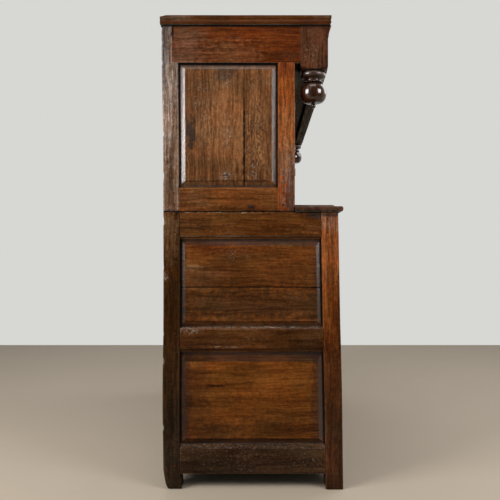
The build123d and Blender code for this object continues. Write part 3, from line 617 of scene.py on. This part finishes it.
class Plank:
    """The places and the noises that a finish of oak is made of."""

    def __init__(self, tree, place):
        self.place = place
        self.arris, self.tone = attribute(tree, "arris"), attribute(tree, "plank")
        self.upward, self.sunk = attribute(tree, "upward"), attribute(tree, "sunk")

        # The grain wanders round knots and runs out of the plank
        straight = attribute(tree, "grain", "Vector")
        sway = {"Vector": straight, "Scale": 5.0, "Detail": 3.0}
        sway = shader_node(tree, "TexNoise", sway).outputs["Color"]
        sway = vector_math(tree, "SUBTRACT", sway, (0.5, 0.5, 0.5))
        self.grain = vector_math(tree, "MULTIPLY_ADD", sway, (0.0, 0.03, 0.03), straight)

        self.bands = speckle(tree, self.grain, (2.2, 30, 30), 3, 0.5)
        self.lines = speckle(tree, self.grain, (7, 135, 135), 6, 0.78)
        self.pores = speckle(tree, self.grain, (60, 900, 900), 3, 0.6)
        self.clouds = speckle(tree, place, (5.5, 5.5, 5.5), 4, 0.55)
        self.mottle = speckle(tree, place, (80, 80, 80), 6, 0.75, 0.6)
        self.rays = speckle(tree, self.grain, (55, 120, 120), 3, 0.65, 2.0)


def aged_tone(tree, plank, tone, blots, foot, weathered):
    """The tone of each place, without the figure: blots, grime near the floor, and dry weathered grain."""
    colour = tone + (1,)
    for middle, size, stain, strength in blots:
        patch = times(tree, blot(tree, plank.place, middle, size), strength)
        colour = mixed(tree, patch, colour, stain + (1,))
    if foot < 1:
        height = coordinate(tree, plank.place, "Z")
        ragged = added(tree, height, ranged(tree, plank.clouds, 0.2, 0.8, -0.09, 0.09))
        colour = mixed(tree, ranged(tree, ragged, 0.0, 0.86, 1 - foot, 0.0), colour, GRIME)
    if weathered:
        pale = ranged(tree, speckle(tree, plank.grain, (14, 230, 230), 4, 0.7), 0.42, 0.60)
        dry = mixed(tree, 1.0, colour, (0.63, 0.75, 0.88, 1), "MULTIPLY")
        dry = vector_math(tree, "MULTIPLY_ADD", dry, (2.2,) * 3, (0.010,) * 3)
        colour = mixed(tree, times(tree, pale, weathered), colour, dry)
    return colour


def figured(tree, plank, contrast, uneven):
    """The share of the tone that each place has: rings, rays, pores, clouds and the boards' own tones."""
    figure = added(tree, times(tree, plank.bands, 0.35), times(tree, plank.lines, 0.65))
    figure = ranged(tree, figure, 0.5 - 0.12 / contrast, 0.5 + 0.12 / contrast)
    ramp = shader_node(tree, "ValToRGB", {0: figure})
    stops = ramp.color_ramp.elements
    stops[0].color = tinted((0.45, 0.405, 0.36), SHARE)
    stops[1].color = tinted((1.6, 1.76, 1.92), SHARE)
    stops.new(0.5).color = tinted((0.98, 0.98, 0.98), SHARE)
    pale_rays = ranged(tree, plank.rays, 0.56, 0.68, 0, 0.4 * contrast)
    dark_rays = ranged(tree, plank.rays, 0.44, 0.34, 0, 0.4 * contrast)
    share = mixed(tree, pale_rays, ramp.outputs[0], tinted((1.8, 2.05, 2.5), SHARE))
    share = mixed(tree, dark_rays, share, grey(0.4 * SHARE))
    share = mixed(tree, ranged(tree, plank.pores, 0.52, 0.68, 0, 0.6), share, grey(0.25 * SHARE))
    redder = ranged(tree, speckle(tree, plank.place, (9, 7, 16), 3), 0.38, 0.62)
    hue = mixed(tree, redder, (0.92, 0.98, 1.0, 1), (1.0, 0.92, 0.87, 1))
    lightness = times(
        tree,
        ranged(tree, plank.clouds, 0.32, 0.68, 0.77, 1.17),
        ranged(tree, plank.mottle, 0.28, 0.72, 0.72, 1.28),
        ranged(tree, plank.tone, 0, 1, uneven[0] / SHARE, uneven[1] / SHARE),
    )
    share = {0: mixed(tree, 1.0, share, hue, "MULTIPLY"), "Scale": lightness}
    return shader_node(tree, "VectorMath", share, operation="SCALE").outputs[0]


def shaded_and_dirty(tree, plank, reach, bevel):
    """The painted shade and the dirt: darkness in the corners, which light from above doesn't reach, and in a
    panel's sunk border.
    """
    normal = shader_node(tree, "NewGeometry").outputs["Normal"]
    upwards = vector_math(tree, "NORMALIZE", vector_math(tree, "ADD", normal, (0, 0, 0.7)))
    values = {"Distance": reach, "Normal": upwards}
    openness = shader_node(tree, "AmbientOcclusion", values, samples=8).outputs["AO"]
    shade_and_dirt = ranged(tree, openness, 0.36, 0.78, 0.97, 0.0)
    if bevel:
        border = ranged(tree, plank.sunk, 0.0053, 0.0059)
        shade_and_dirt = larger(tree, shade_and_dirt, times(tree, border, ranged(tree, shade_and_dirt, 0.0, 0.35, 0.55, 1.0)))
    return shade_and_dirt


def dusty(tree, plank, dust):
    """Where dust lies: in specks, most near the floor and on what faces up."""
    specks = speckle(tree, plank.place, (150, 110, 190), 6, 0.85, 0.5)
    patchy = times(
        tree,
        ranged(tree, specks, 0.55, 0.65),
        ranged(tree, plank.clouds, 0.42, 0.58),
        ranged(tree, coordinate(tree, plank.place, "Z"), 0.12, 0.60, 1.0, 0.45),
    )
    on_top = times(tree, ranged(tree, plank.upward, 0.25, 0.5), ranged(tree, specks, 0.48, 0.62, 0.0, 0.6))
    return times(tree, larger(tree, patchy, on_top), dust)


def bevel_shine(tree, plank, shade_and_dirt, gloss, dull_rear):
    """The hard polish on a panel's bevels, less where they face up or lie in painted shade and dirt, and less at
    the back.
    """
    shares = [
        ranged(tree, plank.sunk, 0.0006, 0.0014),
        ranged(tree, plank.upward, -0.2, -0.05),
        ranged(tree, plank.upward, 0.05, 0.15, 1.0, 0.6),
    ]
    if dull_rear:
        depth = coordinate(tree, plank.place, "Y")
        shares.append(ranged(tree, depth, 0.10, 0.22, 1.0, 1 - dull_rear))
    shares.append(ranged(tree, shade_and_dirt, 0.0, 0.8, 1.0, 0.02))
    return added(tree, times(tree, *shares, 0.85), gloss)


def oak(name, tone, contrast=1.0, wear_and_glint=0.5, foot=1.0, polish=0.3, gloss=0.08, dust=0.0, weathered=0.0,
        blots=(), scars=(), bevel=None, reach=0.028, dull_rear=0.0, uneven=(0.96, 1.16)):
    """Old waxed oak of one tone, with the figure running along each plank.

    foot is the share of the tone that is left near the floor. Blots and scars are as in BLOTS and SCARS. A
    panel has near-black painted shade and dirt in its sunk border and a hard polish on its bevels, where bevel
    is the share of the tone that is left. reach is how far the painted shade and dirt spread out of the
    corners, and dull_rear the share of the bevels' polish that is lost at the back. uneven is the range of the
    boards' own tones.
    """
    material, tree, surface, place = blank(name)
    plank = Plank(tree, place)
    colour = aged_tone(tree, plank, tone, blots, foot, weathered)
    colour = mixed(tree, 1.0, figured(tree, plank, contrast, uneven), colour, "MULTIPLY")

    # worn arrises are paler; the pale colour is partly wear and partly a painted highlight where the edges catch
    # the light
    rubbed_and_glint = times(tree, plank.arris, ranged(tree, plank.mottle, 0.36, 0.62, 0.15 * wear_and_glint, wear_and_glint))
    colour = mixed(tree, rubbed_and_glint, colour, tinted((tone[0], tone[1] * 1.2, tone[2] * 1.5), 2.2, 0.015))
    for middle, size, bare, strength, scale, spread in scars:
        patch = times(tree, marks(tree, place, middle, size, scale, spread), strength)
        colour = mixed(tree, patch, colour, bare + (1,))
    if bevel:
        colour = mixed(tree, 1.0, colour, ranged(tree, plank.sunk, 0.0008, 0.0015, 1.0, bevel), "MULTIPLY")
    # painted shade: darker where light from above is cut off, in corners and under rails, together with dirt
    shade_and_dirt = shaded_and_dirty(tree, plank, reach, bevel)
    colour = mixed(tree, shade_and_dirt, colour, SHADE_AND_DIRT)
    if dust:
        colour = mixed(tree, dusty(tree, plank, dust), colour, DUST)

    rough = added(
        tree,
        times(tree, plank.lines, 0.10),
        times(tree, plank.mottle, 0.12),
        times(tree, shade_and_dirt, 0.3),
        ranged(tree, plank.upward, 0.8, 0.95, 0.0, 0.28),
        polish - 0.11,
    )
    relief = added(
        tree,
        times(tree, plank.lines, 0.35),
        times(tree, plank.bands, 0.4),
        ranged(tree, plank.pores, 0.5, 0.75, 0, -0.22),
        times(tree, plank.mottle, 0.7),
    )
    feed(tree, surface, {
        "Base Color": colour,
        "Roughness": rough,
        "Specular IOR Level": bevel_shine(tree, plank, shade_and_dirt, gloss, dull_rear) if bevel else gloss,
        "Normal": raised(tree, relief, 0.0012, 0.5),
    })
    return material


def dry_oak(name, tone):
    """Sawn boards that never had a polish."""
    return oak(
        name, tone, contrast=0.5, wear_and_glint=0.0, polish=0.75, gloss=0.05, weathered=0.3, uneven=(0.55, 1.40)
    )


def turned_oak(name, tone, dull_above=TOP):
    """Turned oak that hands have darkened and polished, less so above a height, with painted shade and dirt in its
    hollows.
    """
    material, tree, surface, place = blank(name)
    lines = speckle(tree, attribute(tree, "grain", "Vector"), (14, 120, 120), 6, 0.75)
    mottle = speckle(tree, place, (55, 55, 55), 5, 0.7)
    colour = mixed(tree, ranged(tree, lines, 0.36, 0.64), tinted(tone, 0.45), tinted(tone, 1.7))
    colour = mixed(tree, 1.0, colour, ranged(tree, mottle, 0.3, 0.7, 0.6, 1.4), "MULTIPLY")
    # painted shade and dirt: darker where the turning is hollow or tucked in
    openness = shader_node(tree, "AmbientOcclusion", {"Distance": 0.012}, samples=8).outputs["AO"]
    shade_and_dirt = ranged(tree, openness, 0.30, 0.75, 0.95, 0.0)
    rough = added(
        tree,
        ranged(tree, coordinate(tree, place, "Z"), dull_above, dull_above + 0.004, 0.0, 0.22),
        ranged(tree, mottle, 0.3, 0.7, 0.11, 0.19),
        times(tree, shade_and_dirt, 0.3),
    )
    feed(tree, surface, {
        "Base Color": mixed(tree, shade_and_dirt, colour, SHADE_AND_DIRT),
        "Roughness": rough,
        "Specular IOR Level": 0.6,
        "Normal": raised(tree, added(tree, times(tree, lines, 0.2), times(tree, mottle, 0.3)), 0.0008, 0.35),
    })
    return material


def forged_iron():
    """Black iron with hammer marks and a little rust."""
    material, tree, surface, place = blank("forged_iron")
    blows = speckle(tree, place, (90, 90, 90), 2, 0.5)
    scale = speckle(tree, place, (420, 420, 420), 4, 0.7)
    colour = mixed(tree, ranged(tree, scale, 0.4, 0.7), grey(0.022), (0.055, 0.045, 0.038, 1))
    feed(tree, surface, {
        "Base Color": mixed(tree, ranged(tree, blows, 0.58, 0.74, 0, 0.7), colour, (0.075, 0.028, 0.012, 1)),
        "Roughness": ranged(tree, scale, 0.3, 0.7, 0.38, 0.68),
        "Metallic": 0.75,
        "Normal": raised(tree, added(tree, blows, times(tree, scale, 0.2)), 0.001, 0.6),
    })
    return material


# ---- Pegs and nails ----
def heads_tree(name, sizes, material):
    """Nodes that set a head on each point, along its outward. Gives the value of each of their inputs too."""
    radius, height, sides, dome = sizes
    tree = bpy.data.node_groups.new(f"{name}_heads", "GeometryNodeTree")
    sockets = tree.interface
    sockets.new_socket("Geometry", in_out="INPUT", socket_type="NodeSocketGeometry")
    wanted = {}
    for label, kind, value in (
        ("Radius", "NodeSocketFloat", radius),
        ("Height", "NodeSocketFloat", height),
        ("Sides", "NodeSocketInt", sides),
        ("Dome", "NodeSocketFloat", dome),
        ("Seed", "NodeSocketInt", 7),
        ("Finish", "NodeSocketMaterial", material),
    ):
        wanted[sockets.new_socket(label, in_out="INPUT", socket_type=kind).identifier] = value
    sockets.new_socket("Geometry", in_out="OUTPUT", socket_type="NodeSocketGeometry")

    given = new_node(tree, "NodeGroupInput").outputs
    head = new_node(tree, "GeometryNodeMeshCone", {
        "Vertices": given["Sides"],
        "Radius Top": given["Dome"],
        "Radius Bottom": given["Radius"],
        "Depth": given["Height"],
    })
    outward = new_node(tree, "GeometryNodeInputNamedAttribute", {"Name": "outward"}, data_type="FLOAT_VECTOR")
    turn = new_node(tree, "FunctionNodeAlignRotationToVector", {"Vector": outward.outputs[0]}, axis="Z")
    spin = new_node(tree, "FunctionNodeRandomValue", {"Max": 6.28, "Seed": given["Seed"]}, data_type="FLOAT")
    about = new_node(tree, "FunctionNodeAxisAngleToRotation", {"Axis": (0, 0, 1), "Angle": spin.outputs[1]})
    turns = {"Rotation": turn.outputs[0], "Rotate By": about.outputs[0]}
    both = new_node(tree, "FunctionNodeRotateRotation", turns, rotation_space="LOCAL")
    range_of_sizes = {"Min": (0.86,) * 3, "Max": (1.12,) * 3, "Seed": given["Seed"]}
    size = new_node(tree, "FunctionNodeRandomValue", range_of_sizes, data_type="FLOAT_VECTOR")
    copies = new_node(tree, "GeometryNodeInstanceOnPoints", {
        "Points": given["Geometry"],
        "Instance": head.outputs["Mesh"],
        "Rotation": both.outputs[0],
        "Scale": size.outputs[0],
    })
    real = new_node(tree, "GeometryNodeRealizeInstances", {0: copies.outputs[0]})
    finish = {"Geometry": real.outputs[0], "Material": given["Finish"]}
    finished = new_node(tree, "GeometryNodeSetMaterial", finish)
    new_node(tree, "NodeGroupOutput", {0: finished.outputs[0]})
    return tree, wanted


def studs(name, places, sizes, material, body):
    """Heads that stand a little proud at each (place, outward)."""
    mesh = bpy.data.meshes.new(f"{name}_places")
    mesh.from_pydata([tuple(place) for place, _ in places], [], [])
    directions = [part for _, direction in places for part in direction]
    mesh.attributes.new("outward", "FLOAT_VECTOR", "POINT").data.foreach_set("vector", directions)
    carrier = put(f"{name}_places", mesh)
    modifier = carrier.modifiers.new("heads", "NODES")
    modifier.node_group, wanted = heads_tree(name, sizes, material)
    for identifier, value in wanted.items():
        modifier[identifier] = value
    bpy.context.view_layer.update()
    plain = bpy.data.meshes.new_from_object(carrier.evaluated_get(bpy.context.evaluated_depsgraph_get()))
    carrier.modifiers.remove(modifier)
    bpy.data.objects.remove(carrier)
    plain.materials.clear()
    plain.materials.append(material)
    made = put(name, plain)
    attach(made, body)


def boxes(node):
    """Lowest and highest corner of each solid of a node."""
    return [extent([corner for triangle in triangles for corner in triangle]) for triangles in shells(node)]


def base_front_at(height):
    """Depth of the leaning front's face at a height."""
    return BASE_FRONT - (WAIST - height) * math.tan(RAKE)


def upper_front_at(height):
    """The same for the upper stage's front, which stands upright."""
    return UPPER_FRONT


def pegs_in_sides():
    """Two pegs through each end of the side rails, on both sides of the cupboard."""
    places = []
    for node, inset in SIDE_PEG_INSETS.items():
        for low, high in boxes(node):
            side = math.copysign(1, low.x + high.x)
            middle, height = (low.z + high.z) / 2, high.z - low.z
            for y in (low.y + inset, high.y - inset):
                for share in (-PEG_SPREAD, PEG_SPREAD):
                    places.append((Vector((side * HALF_WIDTH, y, middle + share * height)), (side, 0, 0)))
    return places


def pegs_in_front(node, face_at):
    """Two pegs through each end of the rails or muntins of a front."""
    places = []
    for low, high in boxes(node):
        size, middle = high - low, (low + high) / 2
        along, across = (0, 2) if size.x > size.z else (2, 0)
        for end in (low[along] + FRONT_PEG_INSET, high[along] - FRONT_PEG_INSET):
            for share in (-PEG_SPREAD, PEG_SPREAD):
                place = Vector()
                place[along] = end
                place[across] = middle[across] + share * size[across]
                place.y = face_at(place.z)
                places.append((place, (0, -1, 0)))
    return places


def nail_places(stage, side):
    """Four nails in each leaf of a door's hinges: the places on the door, and those on the frame."""
    joint = joint_named(f"{stage}_{side}_door_hinge")
    start = Vector(joint["pos_m"])
    along = Vector(joint["axis"]) * (1 if joint["axis"][2] > 0 else -1)
    outward = Vector((0, -along.z, along.y))
    inward = -math.copysign(1, start.x)
    door, fixed = [], []
    for low, high in boxes(f"{stage}_{side}_door_hinge_leaves"):
        reach = ((low + high) / 2 - start).dot(along)
        for rise, across in NAILS_IN_LEAF:
            for places, direction in ((door, inward), (fixed, -inward)):
                place = start + along * (reach + rise * MM) - outward * LEAF_FACE
                place.x += direction * across * MM
                places.append((place, outward))
    return door, fixed


# ---- Studio ----
def studio_floor():
    material, tree, surface, place = blank("pale_floor")
    soft = speckle(tree, place, (3, 3, 3), 3)
    colour = mixed(tree, soft, FLOOR_COLOUR, tinted(FLOOR_COLOUR, 0.93))
    feed(tree, surface, {"Base Color": colour, "Roughness": 0.7})
    corners = [(x * FLOOR_REACH, y * FLOOR_REACH, 0) for x, y in ((-1, -1), (1, -1), (1, 1), (-1, 1))]
    mesh = bpy.data.meshes.new("floor")
    mesh.from_pydata(corners, [], [(0, 1, 2, 3)])
    mesh.materials.append(material)
    put("floor", mesh)


def studio_world():
    """Pale walls behind the cupboard, a dim room before it, and an even fill that is stronger from above."""
    world = bpy.data.worlds.new("studio")
    bpy.context.scene.world = world
    world.use_nodes = True
    tree = world.node_tree
    tree.nodes.clear()
    direction = shader_node(tree, "TexCoord").outputs["Generated"]
    towards = shader_node(tree, "VectorMath", {0: direction, 1: PALE_SIDE}, operation="DOT_PRODUCT")
    walls = mixed(tree, ranged(tree, towards.outputs["Value"], -0.75, -0.2), DARK_ROOM, BACKGROUND)
    rays = shader_node(tree, "LightPath").outputs
    walls = mixed(tree, rays["Is Camera Ray"], walls, BACKGROUND)
    seen = shader_node(tree, "Background", {"Color": walls, "Strength": 1.0}).outputs[0]
    from_above = ranged(tree, coordinate(tree, direction, "Z"), -0.05, 0.45, 0.25 * FILL, 1.15 * FILL)
    fill = shader_node(tree, "Background", {"Color": grey(1.0), "Strength": from_above}).outputs[0]
    direct = larger(tree, rays["Is Camera Ray"], rays["Is Glossy Ray"], rays["Is Transmission Ray"])
    both = shader_node(tree, "MixShader", {0: direct, 1: fill, 2: seen}).outputs[0]
    shader_node(tree, "OutputWorld", {"Surface": both})


def studio_lamps():
    for name, turn, rise, distance, size, radiance in SOFT_BOXES:
        turn, rise = math.radians(turn), math.radians(rise)
        away = Vector((-math.cos(turn) * math.cos(rise), math.sin(turn) * math.cos(rise), math.sin(rise)))
        lamp = bpy.data.lights.new(name, "AREA")
        lamp.shape = "SQUARE"
        lamp.size = size
        lamp.energy = 4 * radiance * size * size
        lit = put(name, lamp)
        lit.location = Vector(AIM) + away * distance
        lit.rotation_euler = away.to_track_quat("Z", "Y").to_euler()


def studio_camera():
    camera = put("camera", bpy.data.cameras.new("camera"))
    camera.data.lens = CAMERA_LENS
    camera.data.sensor_width = CAMERA_SENSOR
    camera.data.shift_x, camera.data.shift_y = CAMERA_SHIFT
    camera.location = CAMERA_PLACE
    camera.rotation_euler = (math.radians(90), 0, math.radians(-90))
    bpy.context.scene.camera = camera
    bpy.context.scene.view_settings.view_transform = "Standard"


# ---- Marks of age on the two sides, with a painted shadow and painted sheen among them ----
# Middles and sizes are in depth and height, in millimetres
BLACK = (0.003, 0.0025, 0.002)
STAIN = (0.014, 0.012, 0.012)
SCRATCH = (0.26, 0.21, 0.16)
BARE = (0.36, 0.29, 0.19)
ALONG = (150, 60, 300)  # scale of marks that run with a rail
# a black line where the two stages meet: a dark joint, and under the ledge a painted contact shadow
SEAM_AND_SHADOW = ((0, 951.8), (9000, 3.6), BLACK, 0.97, (60, 60, 60), 2.0)  # between the two stages
SHAKE = ((284, 1575), (6, 42), BLACK, 0.97, (60, 60, 60), 2.0)  # a split at the frieze's rear end
# Middle, size, colour and strength of soft patches
BLOTS = {
    "cornice_mouldings": (
        ((290, 1613), (80, 12), (0.085, 0.05, 0.03), 0.7),
        ((-230, 1613), (60, 12), (0.07, 0.033, 0.017), 0.6),
    ),
    "frieze_rails": (
        ((240, 1500), (80, 120), (0.114, 0.05, 0.026), 0.7),
        ((220, 1565), (70, 35), (0.045, 0.018, 0.007), 0.65),
        ((90, 1490), (130, 60), (0.13, 0.046, 0.016), 0.8),
        ((-110, 1485), (70, 22), (0.035, 0.012, 0.004), 0.65),
        ((72, 1547), (9, 8), STAIN, 0.7),
    ),
    "upper_rear_posts": (
        # a pale grey patch: partly dry weathered oak, partly painted sheen
        ((296, 1320), (60, 170), (0.245, 0.16, 0.115), 0.8),
        ((295, 1030), (70, 150), (0.063, 0.027, 0.011), 0.9),
        ((270, 1190), (20, 160), (0.1, 0.05, 0.024), 0.9),
        ((316, 1500), (20, 170), (0.04, 0.04, 0.043), 0.75),
        ((262, 1080), (20, 90), (0.075, 0.031, 0.012), 0.85),
        ((300, 1565), (60, 32), (0.07, 0.045, 0.035), 0.6),
        ((290, 953), (70, 18), (0.04, 0.019, 0.01), 0.6),
    ),
    "upper_side_panels": (
        ((-3, 1240), (55, 250), (0.16, 0.067, 0.024), 0.9),
        ((140, 1090), (140, 80), (0.07, 0.026, 0.008), 0.75),
        ((180, 1250), (40, 130), (0.165, 0.074, 0.03), 0.75),
        ((112, 1220), (36, 120), (0.088, 0.036, 0.013), 0.6),
        ((18, 1310), (24, 100), (0.2, 0.088, 0.033), 0.7),
        ((0, 1085), (60, 50), (0.07, 0.024, 0.008), 0.8),
        ((222, 1222), (20, 75), STAIN, 0.8),
        ((104, 1076), (30, 20), (0.045, 0.02, 0.01), 0.7),
        ((104, 1076), (15, 12), STAIN, 0.8),
        ((104, 1425), (55, 32), (0.05, 0.025, 0.014), 0.8),
        ((39.3, 1200), (4.8, 220), BLACK, 0.97),
    ),
    "upper_front_stiles": (
        ((-105, 1440), (70, 40), (0.105, 0.026, 0.006), 0.75),
        ((-105, 1240), (70, 110), (0.165, 0.056, 0.017), 0.8),
        ((-105, 1130), (70, 80), (0.155, 0.064, 0.028), 0.85),
        ((-145, 1020), (60, 150), (0.137, 0.079, 0.06), 0.9),
    ),
    "upper_side_rails": (
        ((210, 990), (70, 50), (0.105, 0.042, 0.014), 0.6),
        ((30, 985), (60, 40), (0.06, 0.0175, 0.0035), 0.6),
        ((15, 968), (18, 10), STAIN, 0.7),
    ),
    "base_side_rails": (
        ((0, 525), (600, 60), (0.041, 0.0125, 0.0018), 0.7),
        ((220, 910), (80, 50), (0.04, 0.015, 0.004), 0.65),
        ((-195, 893), (45, 22), (0.125, 0.048, 0.015), 0.65),
        ((-60, 505), (120, 25), (0.08, 0.026, 0.0045), 0.65),
        ((-200, 510), (50, 50), (0.08, 0.029, 0.009), 0.5),
        ((-200, 100), (60, 70), (0.062, 0.021, 0.003), 0.6),
        ((-215, 937), (55, 13), STAIN, 0.75),
    ),
    "base_upper_side_panels": (
        ((250, 690), (20, 300), (0.04, 0.016, 0.007), 0.6),
        ((-205, 690), (16, 300), (0.05, 0.02, 0.01), 0.5),
        ((0, 693.5), (9000, 2.2), BLACK, 0.9),
        ((214, 760), (35, 14), (0.19, 0.1, 0.04), 0.6),
        ((50, 830), (180, 30), (0.11, 0.024, 0.004), 0.6),
        ((-100, 735), (80, 45), (0.052, 0.0175, 0.0045), 0.65),
        ((170, 725), (100, 45), (0.12, 0.05, 0.019), 0.5),
        ((0, 630), (500, 75), (0.036, 0.015, 0.0052), 0.8),
        ((0, 612), (400, 20), (0.027, 0.011, 0.004), 0.5),
    ),
    "base_lower_side_panels": (
        ((147, 353), (50, 6), (0.02, 0.008, 0.003), 0.8),
        ((150, 420), (80, 20), (0.118, 0.032, 0.005), 0.6),
        ((200, 300), (55, 300), (0.058, 0.019, 0.0048), 0.6),
        ((100, 317), (100, 22), (0.15, 0.047, 0.0075), 0.65),
        ((-60, 235), (90, 50), (0.118, 0.037, 0.007), 0.6),
        ((0, 190), (500, 60), (0.06, 0.02, 0.0035), 0.75),
        ((140, 185), (120, 45), (0.038, 0.013, 0.0035), 0.65),
        ((236, 310), (22, 350), (0.036, 0.012, 0.005), 0.75),
        ((-208, 310), (22, 350), (0.045, 0.015, 0.006), 0.7),
    ),
    "base_rear_posts": (
        ((300, 870), (60, 130), (0.078, 0.036, 0.014), 0.7),
        ((290, 680), (60, 70), (0.016, 0.0055, 0.0008), 0.6),
        ((280, 120), (90, 70), (0.012, 0.0055, 0.0018), 0.6),
    ),
    "base_front_posts": (
        ((-250, 820), (100, 180), (0.195, 0.059, 0.016), 0.8),
        ((-250, 915), (70, 35), (0.15, 0.072, 0.042), 0.7),
        ((-262, 415), (100, 100), (0.05, 0.0135, 0.0025), 0.65),
        ((-262, 180), (100, 90), (0.06, 0.017, 0.003), 0.55),
        ((-294, 500), (15, 600), (0.05, 0.014, 0.004), 0.7),
        ((-265, 940), (50, 10), STAIN, 0.8),
    ),
}
# The same for small broken marks, with their scale and the share of the patch that they cover
SCARS = {
    "frieze_rails": (SHAKE,),
    "pendant_posts": (
        ((-195, 1490), (35, 45), (0.16, 0.09, 0.05), 0.45, (110, 110, 80), 0.35),
    ),
    "upper_rear_posts": (SHAKE, SEAM_AND_SHADOW),
    "upper_side_panels": (
        ((101, 1400), (24, 28), SCRATCH, 0.5, (120, 190, 80), 0.25),
        ((185, 1300), (34, 40), SCRATCH, 0.5, (120, 190, 80), 0.2),
        ((99, 1225), (22, 75), SCRATCH, 0.6, (120, 190, 60), 0.25),
        ((104, 1076), (32, 24), SCRATCH, 0.55, (140, 130, 230), 0.35),
        ((5, 1094), (18, 45), SCRATCH, 0.5, (120, 190, 60), 0.3),
        ((190, 1360), (70, 60), SCRATCH, 0.35, (90, 60, 260), 0.15),
        ((0, 1200), (50, 220), (0.035, 0.014, 0.007), 0.8, (80, 130, 80), 0.5),
        ((130, 1260), (120, 240), (0.048, 0.019, 0.008), 0.5, (80, 150, 60), 0.3),
    ),
    "upper_front_stiles": (SEAM_AND_SHADOW,),
    "upper_side_rails": (SEAM_AND_SHADOW,),
    "base_side_rails": (
        SEAM_AND_SHADOW,
        ((100, 947.8), (220, 3), BARE, 0.45, ALONG, 0.3),
        ((0, 556), (235, 2.6), BARE, 0.68, ALONG, 0.45),
        ((222, 544), (40, 14), SCRATCH, 0.6, (90, 130, 300), 0.4),
        ((106, 489), (90, 5), SCRATCH, 0.6, ALONG, 0.3),
    ),
    "base_upper_side_panels": (
        ((60, 805), (70, 30), SCRATCH, 0.35, (120, 150, 260), 0.2),
    ),
    "base_rear_posts": (
        SEAM_AND_SHADOW,
        ((312, 729), (14, 16), SCRATCH, 0.6, (90, 180, 120), 0.5),
    ),
    "base_front_posts": (SEAM_AND_SHADOW,),
}

# ---- Tones, wear and painted edge highlights of the pieces that show on the two sides ----
OAKS = {
    "cornice_mouldings": dict(tone=(0.044, 0.0127, 0.0029), wear_and_glint=0.8, contrast=0.8, reach=0.012),
    "frieze_rails": dict(tone=(0.07, 0.0148, 0.0024), contrast=1.05, reach=0.01),
    "pendant_posts": dict(tone=(0.045, 0.015, 0.0062), wear_and_glint=0.9, contrast=1.6),
    # this post's pale grey tone is partly dry weathered oak and partly painted sheen
    "upper_rear_posts": dict(tone=(0.15, 0.09, 0.06), weathered=0.65, contrast=1.25),
    "upper_side_panels": dict(tone=(0.112, 0.0445, 0.0155), bevel=0.8),
    "upper_front_stiles": dict(tone=(0.165, 0.041, 0.008), contrast=1.05),
    "upper_side_rails": dict(tone=(0.083, 0.0255, 0.0056), contrast=1.05),
    "ledge_board": dict(tone=(0.05, 0.02, 0.011), wear_and_glint=0.9, dust=0.3),
    "base_side_rails": dict(tone=(0.06, 0.019, 0.0035), foot=0.2, dust=0.55),
    "base_upper_side_panels": dict(tone=(0.09, 0.028, 0.0056), contrast=0.85, bevel=0.6, dull_rear=0.8),
    "base_lower_side_panels": dict(tone=(0.102, 0.0305, 0.0046), contrast=0.8, bevel=0.4, dull_rear=0.8),
    "base_rear_posts": dict(tone=(0.027, 0.0085, 0.0009), foot=0.2, contrast=1.3, dust=0.18),
    "base_front_posts": dict(tone=(0.144, 0.0375, 0.0058), contrast=1.2, wear_and_glint=0.15, foot=0.15, dust=0.2),
}


def finishes():
    """A finish for every oak node: its own, or else that of its slot."""
    finish = {
        node: oak(f"oak_{node}", blots=BLOTS.get(node, ()), scars=SCARS.get(node, ()), **look)
        for node, look in OAKS.items()
    }
    by_slot = {
        "oak_frame": oak("oak_front", (0.110, 0.033, 0.008), foot=0.45),
        "oak_panels": oak("oak_front_panels", (0.120, 0.040, 0.011), contrast=0.9, foot=0.6, bevel=0.8),
        "oak_turned": turned_oak("oak_knobs", (0.030, 0.010, 0.004)),
        "oak_inside": dry_oak("oak_inside_boards", (0.20, 0.115, 0.062)),
    }
    for node, slot in SLOT_OF.items():
        if slot in by_slot:
            finish.setdefault(node, by_slot[slot])
    finish["base_back"] = finish["upper_back"] = dry_oak("oak_back_boards", (0.13, 0.082, 0.050))
    return finish


# ---- Making the cupboard ----
def turned_work(finish):
    """Hands over the knobs and the pendants."""
    for node, piece in knobs().items():
        hand_over(piece, node, finish[node])
    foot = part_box("pendant_posts")[0].z
    handled = turned_oak("oak_pendants", (0.026, 0.0085, 0.0035), foot + HANDLED)
    for piece in pendants():
        hand_over(piece, "pendant_posts", finish["pendant_posts"], handled,
                  lambda face: face.center.z < foot + SHOULDER)


def span_of(node):
    """Distance between the cuts of an oak node, or none if it must stay straight."""
    if node.endswith(RUNNING):
        return None
    if SLOT_OF[node] == "oak_inside":
        return LONG_SPAN
    return FINE_SPAN if "rear_posts" in node else SPAN


def worn_work(finish, iron):
    """Hands over every node that isn't turned."""
    under = oak("oak_undersides", (0.15, 0.156, 0.135), wear_and_glint=0.0, polish=0.8, gloss=0.0)
    for node, slot in SLOT_OF.items():
        if node.endswith("_knob") or node == "pendant_posts":
            continue
        if slot == "iron":
            hand_over(worn(node, None, IRON_ARRIS), node, iron)
        else:
            piece = worn(node, span_of(node), BOARD_ARRIS if node.endswith("_back") else ARRIS)
            hand_over(piece, node, finish[node], under, lambda face: face.normal.z < -0.8)


def pegs():
    places = pegs_in_sides()
    for node in ("base_front_rails", "base_front_muntins"):
        places += pegs_in_front(node, base_front_at)
    for node in ("upper_front_rails", "upper_muntins"):
        places += pegs_in_front(node, upper_front_at)
    peg_oak = oak("oak_pegs", (0.085, 0.029, 0.009), wear_and_glint=0.4)
    studs("carcase_pegs", places, PEG, peg_oak, "carcase")


def nails(iron):
    in_frame = []
    for stage, side in DOORS:
        in_door, beside = nail_places(stage, side)
        in_frame += beside
        studs(f"{stage}_{side}_door_nails", in_door, NAIL, iron, f"{stage}_{side}_door")
    studs("frame_nails", in_frame, NAIL, iron, "carcase")


def main():
    studio_camera()
    studio_world()
    studio_lamps()
    studio_floor()
    finish = finishes()
    iron = forged_iron()
    turned_work(finish)
    worn_work(finish, iron)
    pegs()
    nails(iron)


main()
